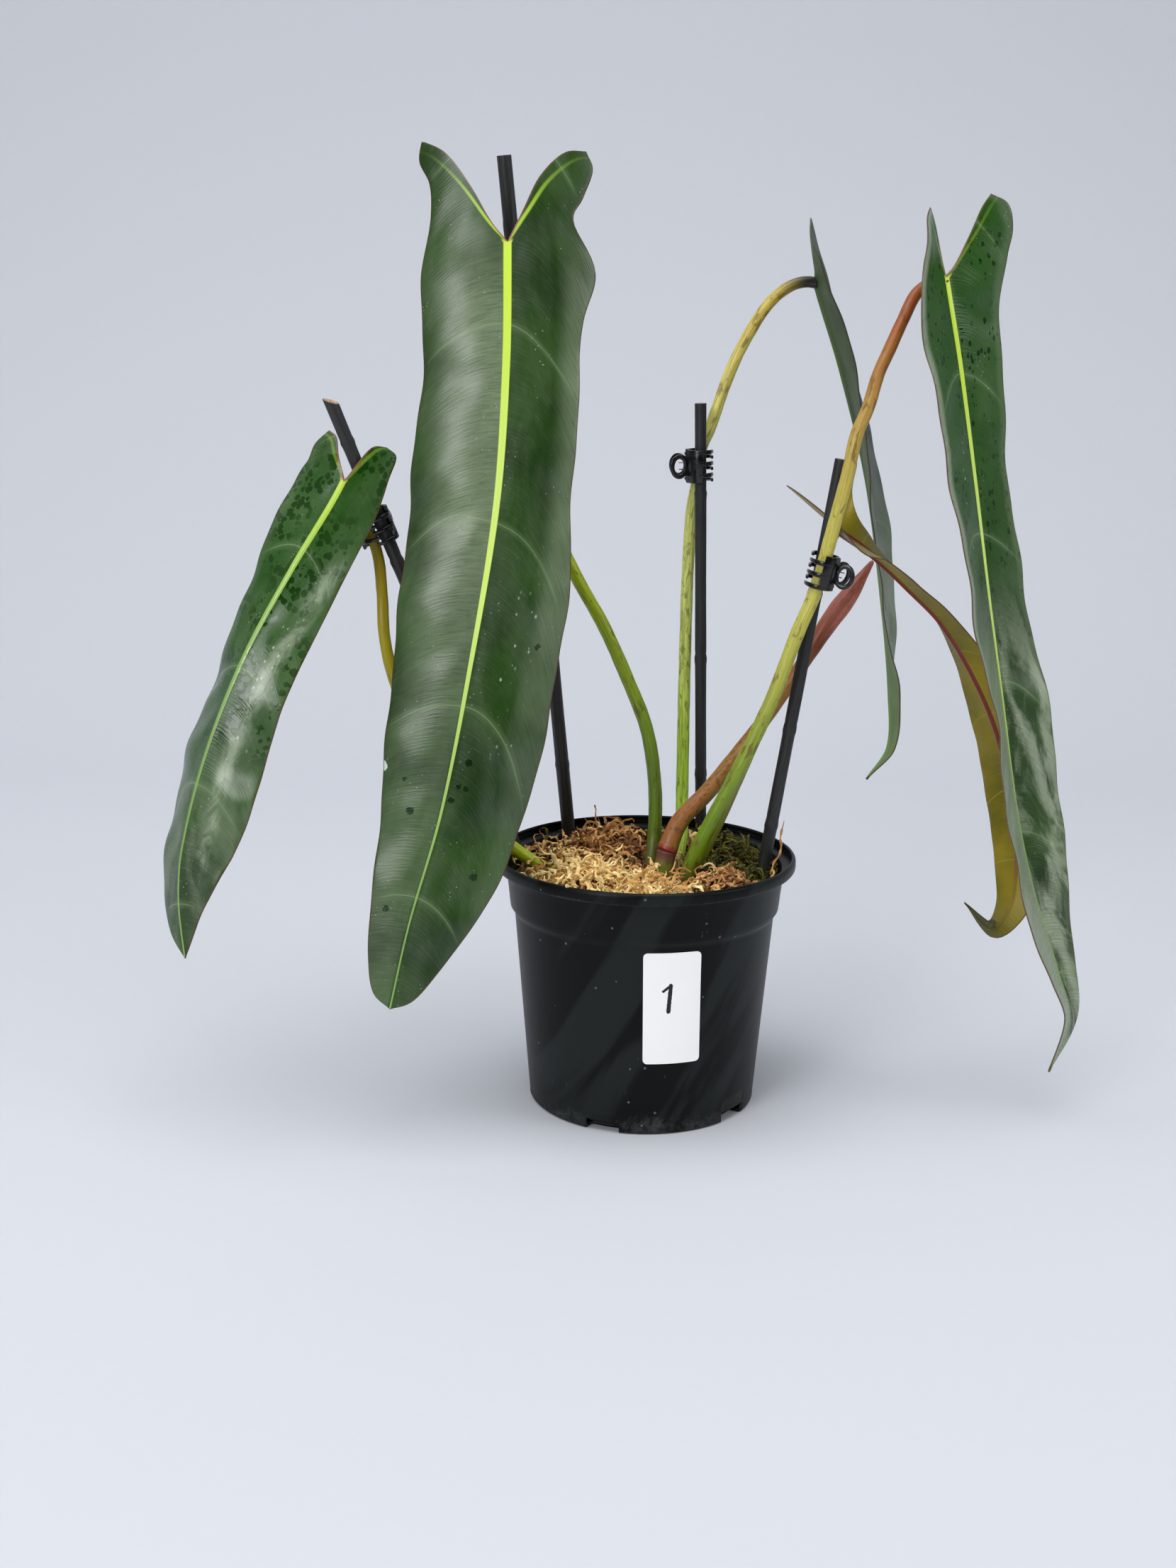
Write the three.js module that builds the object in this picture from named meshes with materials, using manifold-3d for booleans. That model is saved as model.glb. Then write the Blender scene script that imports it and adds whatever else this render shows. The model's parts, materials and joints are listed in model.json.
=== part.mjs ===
// A potted philodendron spiritus-sancti: five long two-lobed leaves on stalks, tied with small
// claw clips to four black canes, in a black nursery pot filled with sphagnum moss.
// Millimetres, +Z up. The origin is the centre of the pot's base, and -Y is the pot's front.

import * as THREE from 'three';
import { mergeVertices } from 'three/addons/utils/BufferGeometryUtils.js';
import Module from 'manifold-3d';

const wasm = await Module();
wasm.setup();

// Running gap that is kept between pieces that touch on the real plant
const GAP = 0.3;

// The pot: radii and heights
const POT = {
  footRadius: 46.5,
  baseRadius: 49.6,
  bodyTopRadius: 56.3,
  collarRadius: 58.2,
  collarTopRadius: 60.0,
  lipRadius: 65.0,
  openingRadius: 63.2,
  cornerHeight: 3.5,
  stepLow: 84.5,
  stepHigh: 87.0,
  lipLow: 104.5,
  height: 110.0,
  wall: 1.4,
  floor: 2.0,
  rounding: 0.8,
  sides: 48,
};
const NOTCH = { count: 5, firstAngle: -111, width: 15, height: 5, depth: 12 };

// The sticker on the pot's front: its place round the pot, its height above the base, its size
const LABEL = {
  angle: -79.5,
  halfAngle: 12.9,
  low: 33,
  high: 82.6,
  corner: 3,
  thickness: 0.3,
  gap: 0.15,
  rows: 8,
  columns: 8,
};

// The moss: its surface lies below the lip and has low mounds
const MOSS = { level: 100.5, edgeDrop: 2.5, mound: 2.2, rings: 7, sides: 30 };

// Canes: where each one meets the moss, its tip, its radius and how far it is pushed in
const CANES = {
  front: { foot: [-32.9, 34, 103.9], tip: [-61.3, 8, 396.3], radius: 3.1, depth: 60, slant: 0 },
  left: { foot: [-53.4, 8, 102], tip: [-128, -27, 300], radius: 2.85, depth: 70, slant: 0.75 },
  back: { foot: [26.4, 36, 103.1], tip: [21.1, 29, 299.4], radius: 2.6, depth: 60, slant: 0 },
  right: { foot: [50, -8, 102], tip: [76.1, -13, 278.8], radius: 2.8, depth: 80, slant: 0 },
};

// Number of sides of the round limbs, and steps along each for every point of its route
const LIMB = { sides: 8, crownSides: 10, steps: 1.6 };

// Stalks: the route of each from the crown to the sinus of its leaf, and its radius at both ends
const STALKS = {
  front: {
    route: [
      [4, -3, 88], [2.6, -1, 102], [4.1, 3, 118], [3.8, 4, 139], [-0.1, 4, 163], [-8.8, 5, 185],
      [-19, 6.5, 207], [-31, 8.5, 228], [-42, 11, 252], [-48.8, 12.2, 275], [-51, 11.4, 289.6],
      [-52.9, 9.7, 309.4], [-54.8, 6, 327], [-57.2, -5, 347], [-58.3, -15, 354.5], [-58.5, -22.6, 356.6],
    ],
    radii: [3.2, 2.4],
  },
  left: {
    route: [
      [2, -4, 84], [-12, -6, 92], [-27, -7, 95.5], [-40, -6.5, 102], [-58, -12, 115.5], [-81, -19, 142.6],
      [-98.2, -22, 170.4], [-105.6, -22, 190], [-109, -20.6, 206], [-110, -17.8, 223],
      [-111.9, -16.6, 239.6], [-118.7, -19.8, 258.1], [-121.8, -21.6, 264.5], [-123.3, -24.6, 266.8],
    ],
    radii: [3.0, 2.2],
  },
  back: {
    route: [
      [8, 0, 84], [13.5, 11, 97], [16.6, 20, 111.5], [17, 28, 124], [17.2, 33, 141], [17.3, 36.5, 184],
      [17.8, 38, 228], [18.9, 37.6, 254], [20.7, 36, 266], [22.2, 35.9, 280], [25.4, 36.6, 287.5],
      [28.3, 37.5, 296], [32.3, 38, 308], [36.8, 39, 319], [42, 40, 329], [48, 41.5, 338.5], [54, 43, 345],
      [60.5, 44, 349], [66, 45, 350.2], [70.2, 45, 349.8],
    ],
    radii: [2.9, 2.4],
  },
  right: {
    route: [
      [7, -9, 86], [12.5, -16.5, 94], [16.2, -20.2, 103], [21.6, -21.5, 118], [26.7, -22, 129],
      [37, -21.8, 150.4], [50.8, -20.6, 181.8], [60, -19, 208], [67.1, -17.4, 225.6], [70.9, -18, 241],
      [74.1, -19.4, 256], [77.7, -20, 272], [81.2, -18, 289.1], [85.5, -15, 298.9], [89.7, -11.5, 312.5],
      [94.4, -8, 322.5], [99.3, -4.5, 333], [106, 0, 345], [112.3, -0.6, 348.6], [116.4, -4.6, 347],
    ],
    radii: [3.4, 2.5],
  },
  young: {
    route: [
      [9, -3, 87], [17, -8, 95], [21, -11, 105], [29.6, -11, 123.1], [41.1, -9.5, 150.5],
      [58, -5.5, 192.6], [67.9, -2.6, 224.6], [72.7, -0.4, 238.3], [75.2, 1, 243.9], [77.4, 3.8, 247.4],
    ],
    radii: [2.2, 1.9],
  },
};

// The crown in the moss, and the spear that stands on it
const STEM = {
  route: [[2, -2, 62], [4.5, -4.5, 84], [7.2, -6.8, 101], [9.1, -6.1, 111.6]],
  radii: [7.5, 6.6, 4.3, 4.2],
};
const SHOOT = {
  route: [
    [9.3, -6, 112.6], [14.3, -3.2, 123.9], [27.1, 2, 137], [39.2, 6, 151.8], [57.2, 11, 175.9],
    [78, 17.5, 208.2], [87.2, 20.5, 220.5], [95.5, 23.5, 232.5],
  ],
  radii: [4.2, 3.8, 3.6, 3.3, 2.9, 2.9, 3.7, 4.2, 1.2],
};

// Blades. The spine's first point is level with the tips of the lobes, its second is the sinus and its
// last is the leaf's tip. facing turns the upper side about the vertical from the pot's front, and the
// folds lift the two halves from the spine, all in degrees. An outline starts at the lobe's tip, and its
// points are [distance along the spine from the sinus, distance from the spine].
const LEAF_THICKNESS = 0.9;
const BLADES = {
  front: {
    spine: [
      [-59, -14, 401], [-58.5, -22, 361.3], [-58.6, -31, 315], [-62.1, -40, 260.4], [-72.7, -49, 194.6],
      [-83.4, -57, 140.4], [-96, -65, 96], [-103.5, -70, 62.5],
    ],
    facing: [0, 0, 0, -2, -4, -6, -8, -10],
    foldLeft: [6, 8, 7, 6, 6, 6, 5, 0],
    foldRight: [10, 8, 7, 6, 6, 6, 5, 0],
    curl: -14,
    length: 308,
    lobeLeft: [[-41, 34], [-33, 35.5], [-24, 31.5], [-12, 31]],
    lobeRight: [[-36, 31], [-29, 33.8], [-18, 30], [-8, 26]],
    sinusLeft: [[-41, 34], [-35, 24], [-22, 14.5], [-8, 6.5], [0, 0]],
    sinusRight: [[-36, 31], [-34.5, 22], [-25, 12.5], [-12, 6], [0, 0]],
    left: [
      [10, 34.4], [50, 34], [93, 36.4], [128, 35], [170, 32.4], [205, 28.6], [241, 23], [270, 17], [294, 10],
      [308, 0],
    ],
    right: [
      [11, 34.7], [30, 30], [55, 29.3], [95, 29.2], [128, 33.4], [175, 34.8], [217, 33], [247, 29.6],
      [275, 21.8], [295, 13], [308, 0],
    ],
  },
  left: {
    spine: [
      [-117.3, -25, 289], [-123.4, -28, 269.1], [-143, -38, 235.4], [-162, -44, 201], [-177.3, -50, 163],
      [-187.3, -55, 125], [-189, -58, 104], [-186.6, -62, 80.3],
    ],
    facing: [-8, -12, -22, -34, -36, -36, -32, -20],
    foldLeft: [-4, -8, -14, -22, -22, -20, -18, -10],
    foldRight: [-14, -10, -12, -16, -16, -16, -14, -10],
    curl: -8,
    length: 208,
    lobeLeft: [[-18, 12], [-11, 17.5], [-2, 19]],
    lobeRight: [[-17.5, 12.5], [-14.5, 17], [-5, 16.4]],
    sinusLeft: [[-18, 12], [-16, 8.3], [-9, 5.6], [0, 0]],
    sinusRight: [[-17.5, 12.5], [-16, 7], [-9, 3], [0, 0]],
    left: [
      [8, 21], [28, 20.4], [60, 20], [95, 22.5], [125, 26], [150, 25], [175, 18.6], [195, 9.5], [208, 0],
    ],
    right: [
      [8, 18], [28, 19.4], [60, 21.5], [95, 23], [130, 25], [152, 23.6], [175, 17], [194, 7.5], [208, 0],
    ],
  },
  back: {
    spine: [
      [63.4, 43, 375.5], [70.8, 46, 349.5], [83.4, 49, 314], [97.2, 52, 265.7], [107.7, 56, 206],
      [112.2, 57.5, 170], [112.6, 57, 145], [103, 54, 130.4],
    ],
    facing: [84, 86, 86, 81, 81, 87, 90, 92],
    foldLeft: [14, 12, 12, 0, 0, 11, 11, 6],
    foldRight: [14, 12, 10, 10, 12, 8, 8, 4],
    curl: 4,
    length: 234,
    lobeLeft: [[-17, 8], [-12, 13], [-3, 16]],
    lobeRight: [[-27, 12], [-18, 15], [-6, 17.5]],
    sinusLeft: [[-17, 8], [-13, 4], [-6, 2], [0, 0]],
    sinusRight: [[-27, 12], [-20, 6.5], [-9, 3], [0, 0]],
    left: [[8, 18], [40, 19.5], [85, 21], [130, 21], [165, 18], [195, 13], [220, 7], [234, 0]],
    right: [[8, 19.5], [40, 20.5], [85, 21.5], [130, 21.5], [165, 18.5], [195, 13], [220, 7], [234, 0]],
  },
  right: {
    spine: [
      [110, -3, 379], [115.6, -5, 350.5], [123.5, -3.5, 316.4], [132.1, -3, 271.6], [141, -5, 220],
      [148.1, -8, 180], [156.3, -13, 132.8], [163.8, -17.5, 101.8], [176, -23, 65], [181, -27, 46],
      [173, -32, 23],
    ],
    facing: [36, 40, 43, 50, 52, 52, 51, 49, 49, 50, 52],
    foldLeft: [26, 16, 9, 7, 11, 18, 20, 16, 12, 10, 6],
    foldRight: [24, 20, 9, 9, 13, 22, 22, 18, 12, 8, 6],
    curl: 0,
    length: 338,
    lobeLeft: [[-27, 6], [-22, 12.5], [-13, 15], [-4, 20]],
    lobeRight: [[-29, 24], [-24, 31], [-14, 32], [-4, 29]],
    sinusLeft: [[-27, 6], [-20, 3], [-10, 1.5], [0, 0]],
    sinusRight: [[-29, 24], [-24, 19], [-14, 12.5], [-4, 5], [0, 0]],
    left: [
      [12, 25], [35, 24.5], [80, 24], [133, 24], [174, 25], [222, 25], [254, 20], [293, 11], [320, 5],
      [338, 0],
    ],
    right: [
      [12, 25.5], [35, 24], [80, 23], [133, 23.5], [174, 25], [222, 25], [254, 20.5], [293, 12], [320, 5],
      [338, 0],
    ],
  },
  young: {
    spine: [
      [62, 3, 262], [78.6, 5, 248.6], [94.7, 12, 237.7], [111.1, 16, 223.3], [127.4, 19, 207.2],
      [143.7, 21, 181.9], [155, 20, 156], [163, 17, 122], [163.5, 11, 88], [153.6, 3, 75.5], [139.5, 0, 88.5],
    ],
    facing: [88, 92, 95, 98, 106, 120, 134, 142, 142, 140, 138],
    foldLeft: [10, 15, 18, 18, 14, 12, 12, 12, 12, 14, 10],
    foldRight: [70, 40, 18, 18, 14, 12, 12, 12, 12, 14, 10],
    curl: 0,
    length: 235,
    lobeLeft: [[-26, 6], [-20, 9], [-9, 11]],
    lobeRight: [[-12, 33], [-5, 30], [2, 20]],
    sinusLeft: [[-26, 6], [-18, 3.5], [-8, 2], [0, 0]],
    sinusRight: [[-12, 33], [-10, 24], [-6, 10], [0, 0]],
    left: [[6, 11], [25, 10], [60, 10.5], [95, 13], [130, 16], [165, 15], [190, 11], [212, 5], [235, 0]],
    right: [
      [8, 12], [25, 10.5], [60, 10.5], [95, 13], [130, 14.5], [165, 13.5], [190, 10.5], [212, 5], [235, 0],
    ],
  },
};
const BLADE_MESH = { lobeRows: 4, bladeRows: 15, columns: 3 };

// The curl of a blade is stated at this distance from its spine
const CURL_REACH = 25;

// Claw clips. A clip's own z runs along its cane and is its hinge, its x points to the tips of the
// teeth, and the cane and the stalk lie side by side across y. stakeSide is the sign of y on the cane's
// side, and lean turns the clip away from its nose, in degrees. A jaw's two faces are given as [x, y].
const CLIP = {
  height: 14,
  hold: 5.1,
  halfPair: 2.95,
  outerFace: [[-1.2, 2.6], [1.2, 6.2], [3.6, 7.6], [6.4, 7.5], [9.1, 5.6], [10.5, 2.4], [10.7, -0.9]],
  innerFace: [[9.6, -1.1], [9.4, 2.0], [8.2, 4.8], [6.0, 6.3], [3.9, 6.4], [2.1, 5.3], [0.2, 2.3]],
  plateEnd: [[5.0, 7.75], [5.0, 6.5]],
  teeth: 3,
  toothWidth: 1.9,
  toothPitch: 2.42,
  pinRadius: 0.6,
  lugRadius: 1.75,
  lugWidth: 1.0,
  lugInside: { '-1': 4.8, 1: 3.4 },
  handleAngle: 25,
  handleOffset: 2.1,
  rootLength: 3.2,
  rootHeight: 4.4,
  ringLength: 8.6,
  ringHeight: 10.4,
  ringBand: 1.9,
  ringThickness: 1.3,
  ringStart: 1.2,
  springRadius: 1.15,
  wire: 0.28,
  wireSides: 5,
  springTurns: 3,
  springPitch: 0.85,
  legLength: 4.5,
  legAngle: 13,
};
const CLIPS = {
  front: { cane: 'front', height: 300, nose: [-1, 0, 0], stakeSide: -1, lean: 0 },
  left: { cane: 'left', height: 251, nose: [0, -1, 0], stakeSide: 1, lean: 0 },
  back: { cane: 'back', height: 273, nose: [1, 0, 0], stakeSide: -1, lean: 0 },
  right: { cane: 'right', height: 234, nose: [-1, 0, 0], stakeSide: -1, lean: -3.8 },
};

// Finishes
const finish = (color, roughness) => new THREE.MeshStandardMaterial({ color, roughness, metalness: 0 });
const POT_BLACK = finish(0x15181a, 0.45);
const PAPER_WHITE = finish(0xf2f3f1, 0.7);
const MOSS_TAN = finish(0xc39a5e, 0.95);
const LEAF_GREEN = finish(0x355c36, 0.35);
const YOUNG_OLIVE = finish(0x6b6414, 0.4);
const STALK_GREEN = finish(0x8fa22a, 0.45);
const SHOOT_BROWN = finish(0x9c5b34, 0.5);
const CANE_BLACK = finish(0x17181a, 0.6);
const CLIP_BLACK = finish(0x0b0c0e, 0.3);
const SPRING_STEEL = new THREE.MeshStandardMaterial({ color: 0x8c8f92, roughness: 0.3, metalness: 1 });

const group = new THREE.Group();
const radians = THREE.MathUtils.degToRad;
const vector = (point) => new THREE.Vector3(...point);

function addMesh(name, geometry, material, parent = group) {
  const mesh = new THREE.Mesh(geometry, material);
  mesh.name = name;
  parent.add(mesh);
  return mesh;
}

// Closed geometry to solid and back
function solid(geometry) {
  const bare = geometry.clone();
  for (const attribute of Object.keys(bare.attributes)) {
    if (attribute !== 'position') bare.deleteAttribute(attribute);
  }
  const merged = mergeVertices(bare, 1e-4);
  const mesh = new wasm.Mesh({
    numProp: 3,
    vertProperties: new Float32Array(merged.attributes.position.array),
    triVerts: new Uint32Array(merged.index.array),
  });
  return new wasm.Manifold(mesh);
}

function geometryOf(body) {
  const mesh = body.getMesh();
  const geometry = new THREE.BufferGeometry();
  geometry.setAttribute('position', new THREE.BufferAttribute(mesh.vertProperties, 3));
  geometry.setIndex(new THREE.BufferAttribute(mesh.triVerts, 1));
  return geometry;
}

// The biggest of the pieces that a cut leaves
function largest(body) {
  const pieces = body.decompose();
  return pieces.reduce((best, piece) => (piece.volume() > best.volume() ? piece : best));
}

// A smooth track through values at uneven stations: cubic pieces whose slopes are central differences
function track(stations, values) {
  const last = stations.length - 1;
  const slope = (k) => {
    const before = Math.max(k - 1, 0);
    const after = Math.min(k + 1, last);
    return (values[after] - values[before]) / (stations[after] - stations[before]);
  };
  return (station) => {
    let k = 0;
    while (k < last - 1 && station > stations[k + 1]) k += 1;
    const step = stations[k + 1] - stations[k];
    const t = (station - stations[k]) / step;
    const t2 = t * t;
    const t3 = t2 * t;
    return (2 * t3 - 3 * t2 + 1) * values[k] + (t3 - 2 * t2 + t) * step * slope(k)
      + (3 * t2 - 2 * t3) * values[k + 1] + (t3 - t2) * step * slope(k + 1);
  };
}

// The same for rows of numbers: one track for each column
function trackOfRows(stations, rows) {
  const tracks = rows[0].map((_, column) => track(stations, rows.map((row) => row[column])));
  return (station) => tracks.map((value) => value(station));
}

// A round limb of changing thickness along its route, thicker by extra. It is drawn thin first, so that
// each corner is nearest to the centre of its own ring, even where a coil passes close by.
function limb({ route, radii }, sides, extra = 0) {
  const steps = Math.round(route.length * LIMB.steps);
  const path = new THREE.CatmullRomCurve3(route.map(vector), false, 'centripetal');
  const thin = Math.min(...radii) / 2;
  const ring = [];
  for (let k = 0; k < sides; k += 1) {
    const angle = (2 * Math.PI * k) / sides;
    ring.push(new THREE.Vector2(thin * Math.cos(angle), thin * Math.sin(angle)));
  }
  const geometry = new THREE.ExtrudeGeometry(new THREE.Shape(ring), {
    steps,
    extrudePath: path,
    bevelEnabled: false,
  });
  const centres = path.getSpacedPoints(steps);
  const radiusAt = track(radii.map((_, k) => k / (radii.length - 1)), radii);
  const position = geometry.attributes.position;
  const corner = new THREE.Vector3();
  for (let k = 0; k < position.count; k += 1) {
    corner.fromBufferAttribute(position, k);
    let nearest = 0;
    centres.forEach((centre, c) => {
      if (centre.distanceTo(corner) < centres[nearest].distanceTo(corner)) nearest = c;
    });
    const radius = radiusAt(nearest / steps) + extra;
    corner.sub(centres[nearest]).multiplyScalar(radius / thin).add(centres[nearest]);
    position.setXYZ(k, corner.x, corner.y, corner.z);
  }
  return geometry;
}

// A straight cane along its own line, whose top may be cut at a slant
function caneGeometry(cane, extra = 0) {
  const foot = vector(cane.foot);
  const tip = vector(cane.tip);
  const along = tip.clone().sub(foot).normalize();
  const bottom = foot.clone().addScaledVector(along, -cane.depth);
  const length = bottom.distanceTo(tip) + extra;
  const geometry = new THREE.CylinderGeometry(cane.radius + extra, cane.radius + extra, length, 12, 1);
  const position = geometry.attributes.position;
  for (let k = 0; k < position.count; k += 1) {
    if (position.getY(k) > 0) position.setY(k, position.getY(k) - 2 * cane.slant * position.getX(k));
  }
  geometry.applyQuaternion(new THREE.Quaternion().setFromUnitVectors(new THREE.Vector3(0, 1, 0), along));
  geometry.translate(...bottom.clone().add(tip).multiplyScalar(0.5).toArray());
  return geometry;
}

// A blade's surface: a point beside the spine, lifted by the fold and by the curl towards the margin
function bladeSurface(blade) {
  const points = blade.spine.map(vector);
  const reach = [0];
  for (let k = 1; k < points.length; k += 1) reach.push(reach[k - 1] + points[k].distanceTo(points[k - 1]));
  const bladeLength = reach[reach.length - 1] - reach[1];
  const stations = reach.map((value) => (value - reach[1]) / bladeLength);
  const spine = trackOfRows(stations, blade.spine);
  const facing = track(stations, blade.facing);
  const folds = { '-1': track(stations, blade.foldLeft), 1: track(stations, blade.foldRight) };
  const tick = 0.002;
  return (distance, away, side) => {
    const u = Math.max(distance / blade.length, stations[0]);
    const at = vector(spine(u));
    const ahead = vector(spine(Math.min(u + tick, 1)));
    const behind = vector(spine(Math.max(u - tick, stations[0])));
    const along = ahead.sub(behind).normalize();
    const turn = radians(facing(u));
    const front = new THREE.Vector3(Math.sin(turn), -Math.cos(turn), 0);
    const up = front.addScaledVector(along, -front.dot(along)).normalize();
    const across = new THREE.Vector3().crossVectors(up, along);
    const lift = radians(folds[side](u) + (blade.curl * away) / CURL_REACH);
    at.addScaledVector(across, side * away * Math.cos(lift));
    return at.addScaledVector(up, away * Math.sin(lift));
  };
}

// One half of a blade as rows of [distance, away]: from the edge of the sinus, then from the spine,
// out to the margin. The rows slant towards the tip, as the side veins do.
function bladeRows(blade, side) {
  const lobe = side < 0 ? blade.lobeLeft : blade.lobeRight;
  const sinus = side < 0 ? blade.sinusLeft : blade.sinusRight;
  const margin = side < 0 ? blade.left : blade.right;
  const outer = lobe.concat(margin);
  const outerAt = trackOfRows(outer.map((_, k) => k), outer);
  const sinusAt = trackOfRows(sinus.map((_, k) => k), sinus);
  const shoulder = margin[0][0];
  const rows = [];
  for (let i = 0; i <= BLADE_MESH.lobeRows; i += 1) {
    const t = i / BLADE_MESH.lobeRows;
    rows.push([sinusAt(t * (sinus.length - 1)), outerAt(t * lobe.length)]);
  }
  for (let i = 1; i <= BLADE_MESH.bladeRows; i += 1) {
    const t = i / BLADE_MESH.bladeRows;
    const edge = outerAt(lobe.length + t * (margin.length - 1));
    const distance = ((edge[0] - shoulder) / (blade.length - shoulder)) * blade.length;
    rows.push([[distance, 0], edge]);
  }
  return rows;
}

// A closed thin shell on both sides of a surface that is given as corners and triangles
function thicken(corners, triangles, thickness) {
  const normals = corners.map(() => new THREE.Vector3());
  const edges = new Map();
  for (const triangle of triangles) {
    const [a, b, c] = triangle.map((k) => corners[k]);
    const normal = b.clone().sub(a).cross(c.clone().sub(a));
    triangle.forEach((k, n) => {
      normals[k].add(normal);
      edges.set(`${k},${triangle[(n + 1) % 3]}`, [k, triangle[(n + 1) % 3]]);
    });
  }
  const count = corners.length;
  const position = [];
  for (const half of [thickness / 2, -thickness / 2]) {
    corners.forEach((corner, k) => {
      position.push(...corner.clone().addScaledVector(normals[k].clone().normalize(), half).toArray());
    });
  }
  const index = [];
  for (const [a, b, c] of triangles) index.push(a, b, c, a + count, c + count, b + count);
  for (const [a, b] of edges.values()) {
    if (!edges.has(`${b},${a}`)) index.push(b, a, a + count, b, a + count, b + count);
  }
  const geometry = new THREE.BufferGeometry();
  geometry.setAttribute('position', new THREE.Float32BufferAttribute(position, 3));
  geometry.setIndex(index);
  return geometry;
}

function bladeGeometry(blade, thickness) {
  const surface = bladeSurface(blade);
  const corners = [];
  const triangles = [];
  const numbers = new Map();
  const lastRow = BLADE_MESH.lobeRows + BLADE_MESH.bladeRows;
  for (const side of [-1, 1]) {
    const rows = bladeRows(blade, side);
    const cornerAt = (i, j) => {
      let key = `${side},${i},${j}`;
      if (i === 0) key = `${side},lobe`;
      if (i === lastRow) key = 'tip';
      if (i >= BLADE_MESH.lobeRows && i < lastRow && j === 0) key = `spine,${i}`;
      if (!numbers.has(key)) {
        const [inner, edge] = rows[i];
        const t = j / BLADE_MESH.columns;
        const distance = inner[0] + (edge[0] - inner[0]) * t;
        const away = inner[1] + (edge[1] - inner[1]) * t;
        numbers.set(key, corners.length);
        corners.push(surface(distance, away, side));
      }
      return numbers.get(key);
    };
    for (let i = 0; i < lastRow; i += 1) {
      for (let j = 0; j < BLADE_MESH.columns; j += 1) {
        const quad = [cornerAt(i, j), cornerAt(i + 1, j), cornerAt(i + 1, j + 1), cornerAt(i, j + 1)];
        if (side < 0) quad.reverse();
        for (const triangle of [[quad[0], quad[1], quad[2]], [quad[0], quad[2], quad[3]]]) {
          if (new Set(triangle).size === 3) triangles.push(triangle);
        }
      }
    }
  }
  return thicken(corners, triangles, thickness);
}

// The pot: a turned wall with its floor, then the drain notches cut through the bottom corner
function turned(profile, sides) {
  const geometry = new THREE.LatheGeometry(profile.map(([r, z]) => new THREE.Vector2(r, z)), sides);
  return geometry.rotateX(Math.PI / 2);
}

// Radius of the pot's outer face below the step
function bodyRadius(z) {
  const rise = (z - POT.cornerHeight) / (POT.stepLow - POT.cornerHeight);
  return POT.baseRadius + (POT.bodyTopRadius - POT.baseRadius) * rise;
}

function potBody() {
  const p = POT;
  const round = p.rounding;
  const cornerInner = bodyRadius(p.cornerHeight) - p.wall;
  const profile = [
    [0, 0], [p.footRadius, 0], [p.baseRadius - round, 1], [p.baseRadius, p.cornerHeight],
    [p.bodyTopRadius, p.stepLow], [p.collarRadius, p.stepHigh], [p.collarTopRadius, p.lipLow - round],
    [p.lipRadius - round, p.lipLow], [p.lipRadius, p.lipLow + round], [p.lipRadius, p.height - 2 * round],
    [p.lipRadius - round, p.height], [p.openingRadius, p.height], [p.openingRadius - round / 2, p.height - 1],
    [p.openingRadius - 1, p.lipLow + 2 * round], [p.collarTopRadius - p.wall, p.lipLow],
    [p.collarRadius - p.wall, p.stepHigh + round], [p.bodyTopRadius - p.wall, p.stepLow],
    [cornerInner, p.floor + p.wall], [cornerInner - p.wall, p.floor], [0, p.floor],
  ];
  let body = solid(turned(profile, p.sides));
  for (let k = 0; k < NOTCH.count; k += 1) {
    const notch = new THREE.BoxGeometry(NOTCH.depth, NOTCH.width, NOTCH.height * 2);
    notch.translate(p.baseRadius, 0, 0);
    notch.rotateZ(radians(NOTCH.firstAngle + (360 * k) / NOTCH.count));
    body = body.subtract(solid(notch));
  }
  return body;
}

// The sticker: a thin sheet with round corners that follows the pot's cone
function labelGeometry() {
  const l = LABEL;
  const corners = [];
  const triangles = [];
  const halfHeight = (l.high - l.low) / 2;
  const middle = (l.high + l.low) / 2;
  const halfWidth = radians(l.halfAngle) * bodyRadius(middle);
  for (let i = 0; i <= l.rows; i += 1) {
    const rise = -halfHeight * Math.cos((Math.PI * i) / l.rows);
    const overCorner = Math.max(Math.abs(rise) - (halfHeight - l.corner), 0);
    const shortening = l.corner - Math.sqrt(Math.max(l.corner ** 2 - overCorner ** 2, 0));
    for (let j = 0; j <= l.columns; j += 1) {
      const z = middle + rise;
      const radius = bodyRadius(z) + l.thickness / 2 + l.gap;
      const across = ((2 * j) / l.columns - 1) * (halfWidth - shortening);
      const angle = radians(l.angle) + across / radius;
      corners.push(new THREE.Vector3(radius * Math.cos(angle), radius * Math.sin(angle), z));
      if (i < l.rows && j < l.columns) {
        const k = i * (l.columns + 1) + j;
        triangles.push([k, k + 1, k + l.columns + 2], [k, k + l.columns + 2, k + l.columns + 1]);
      }
    }
  }
  return thicken(corners, triangles, l.thickness);
}

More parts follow.
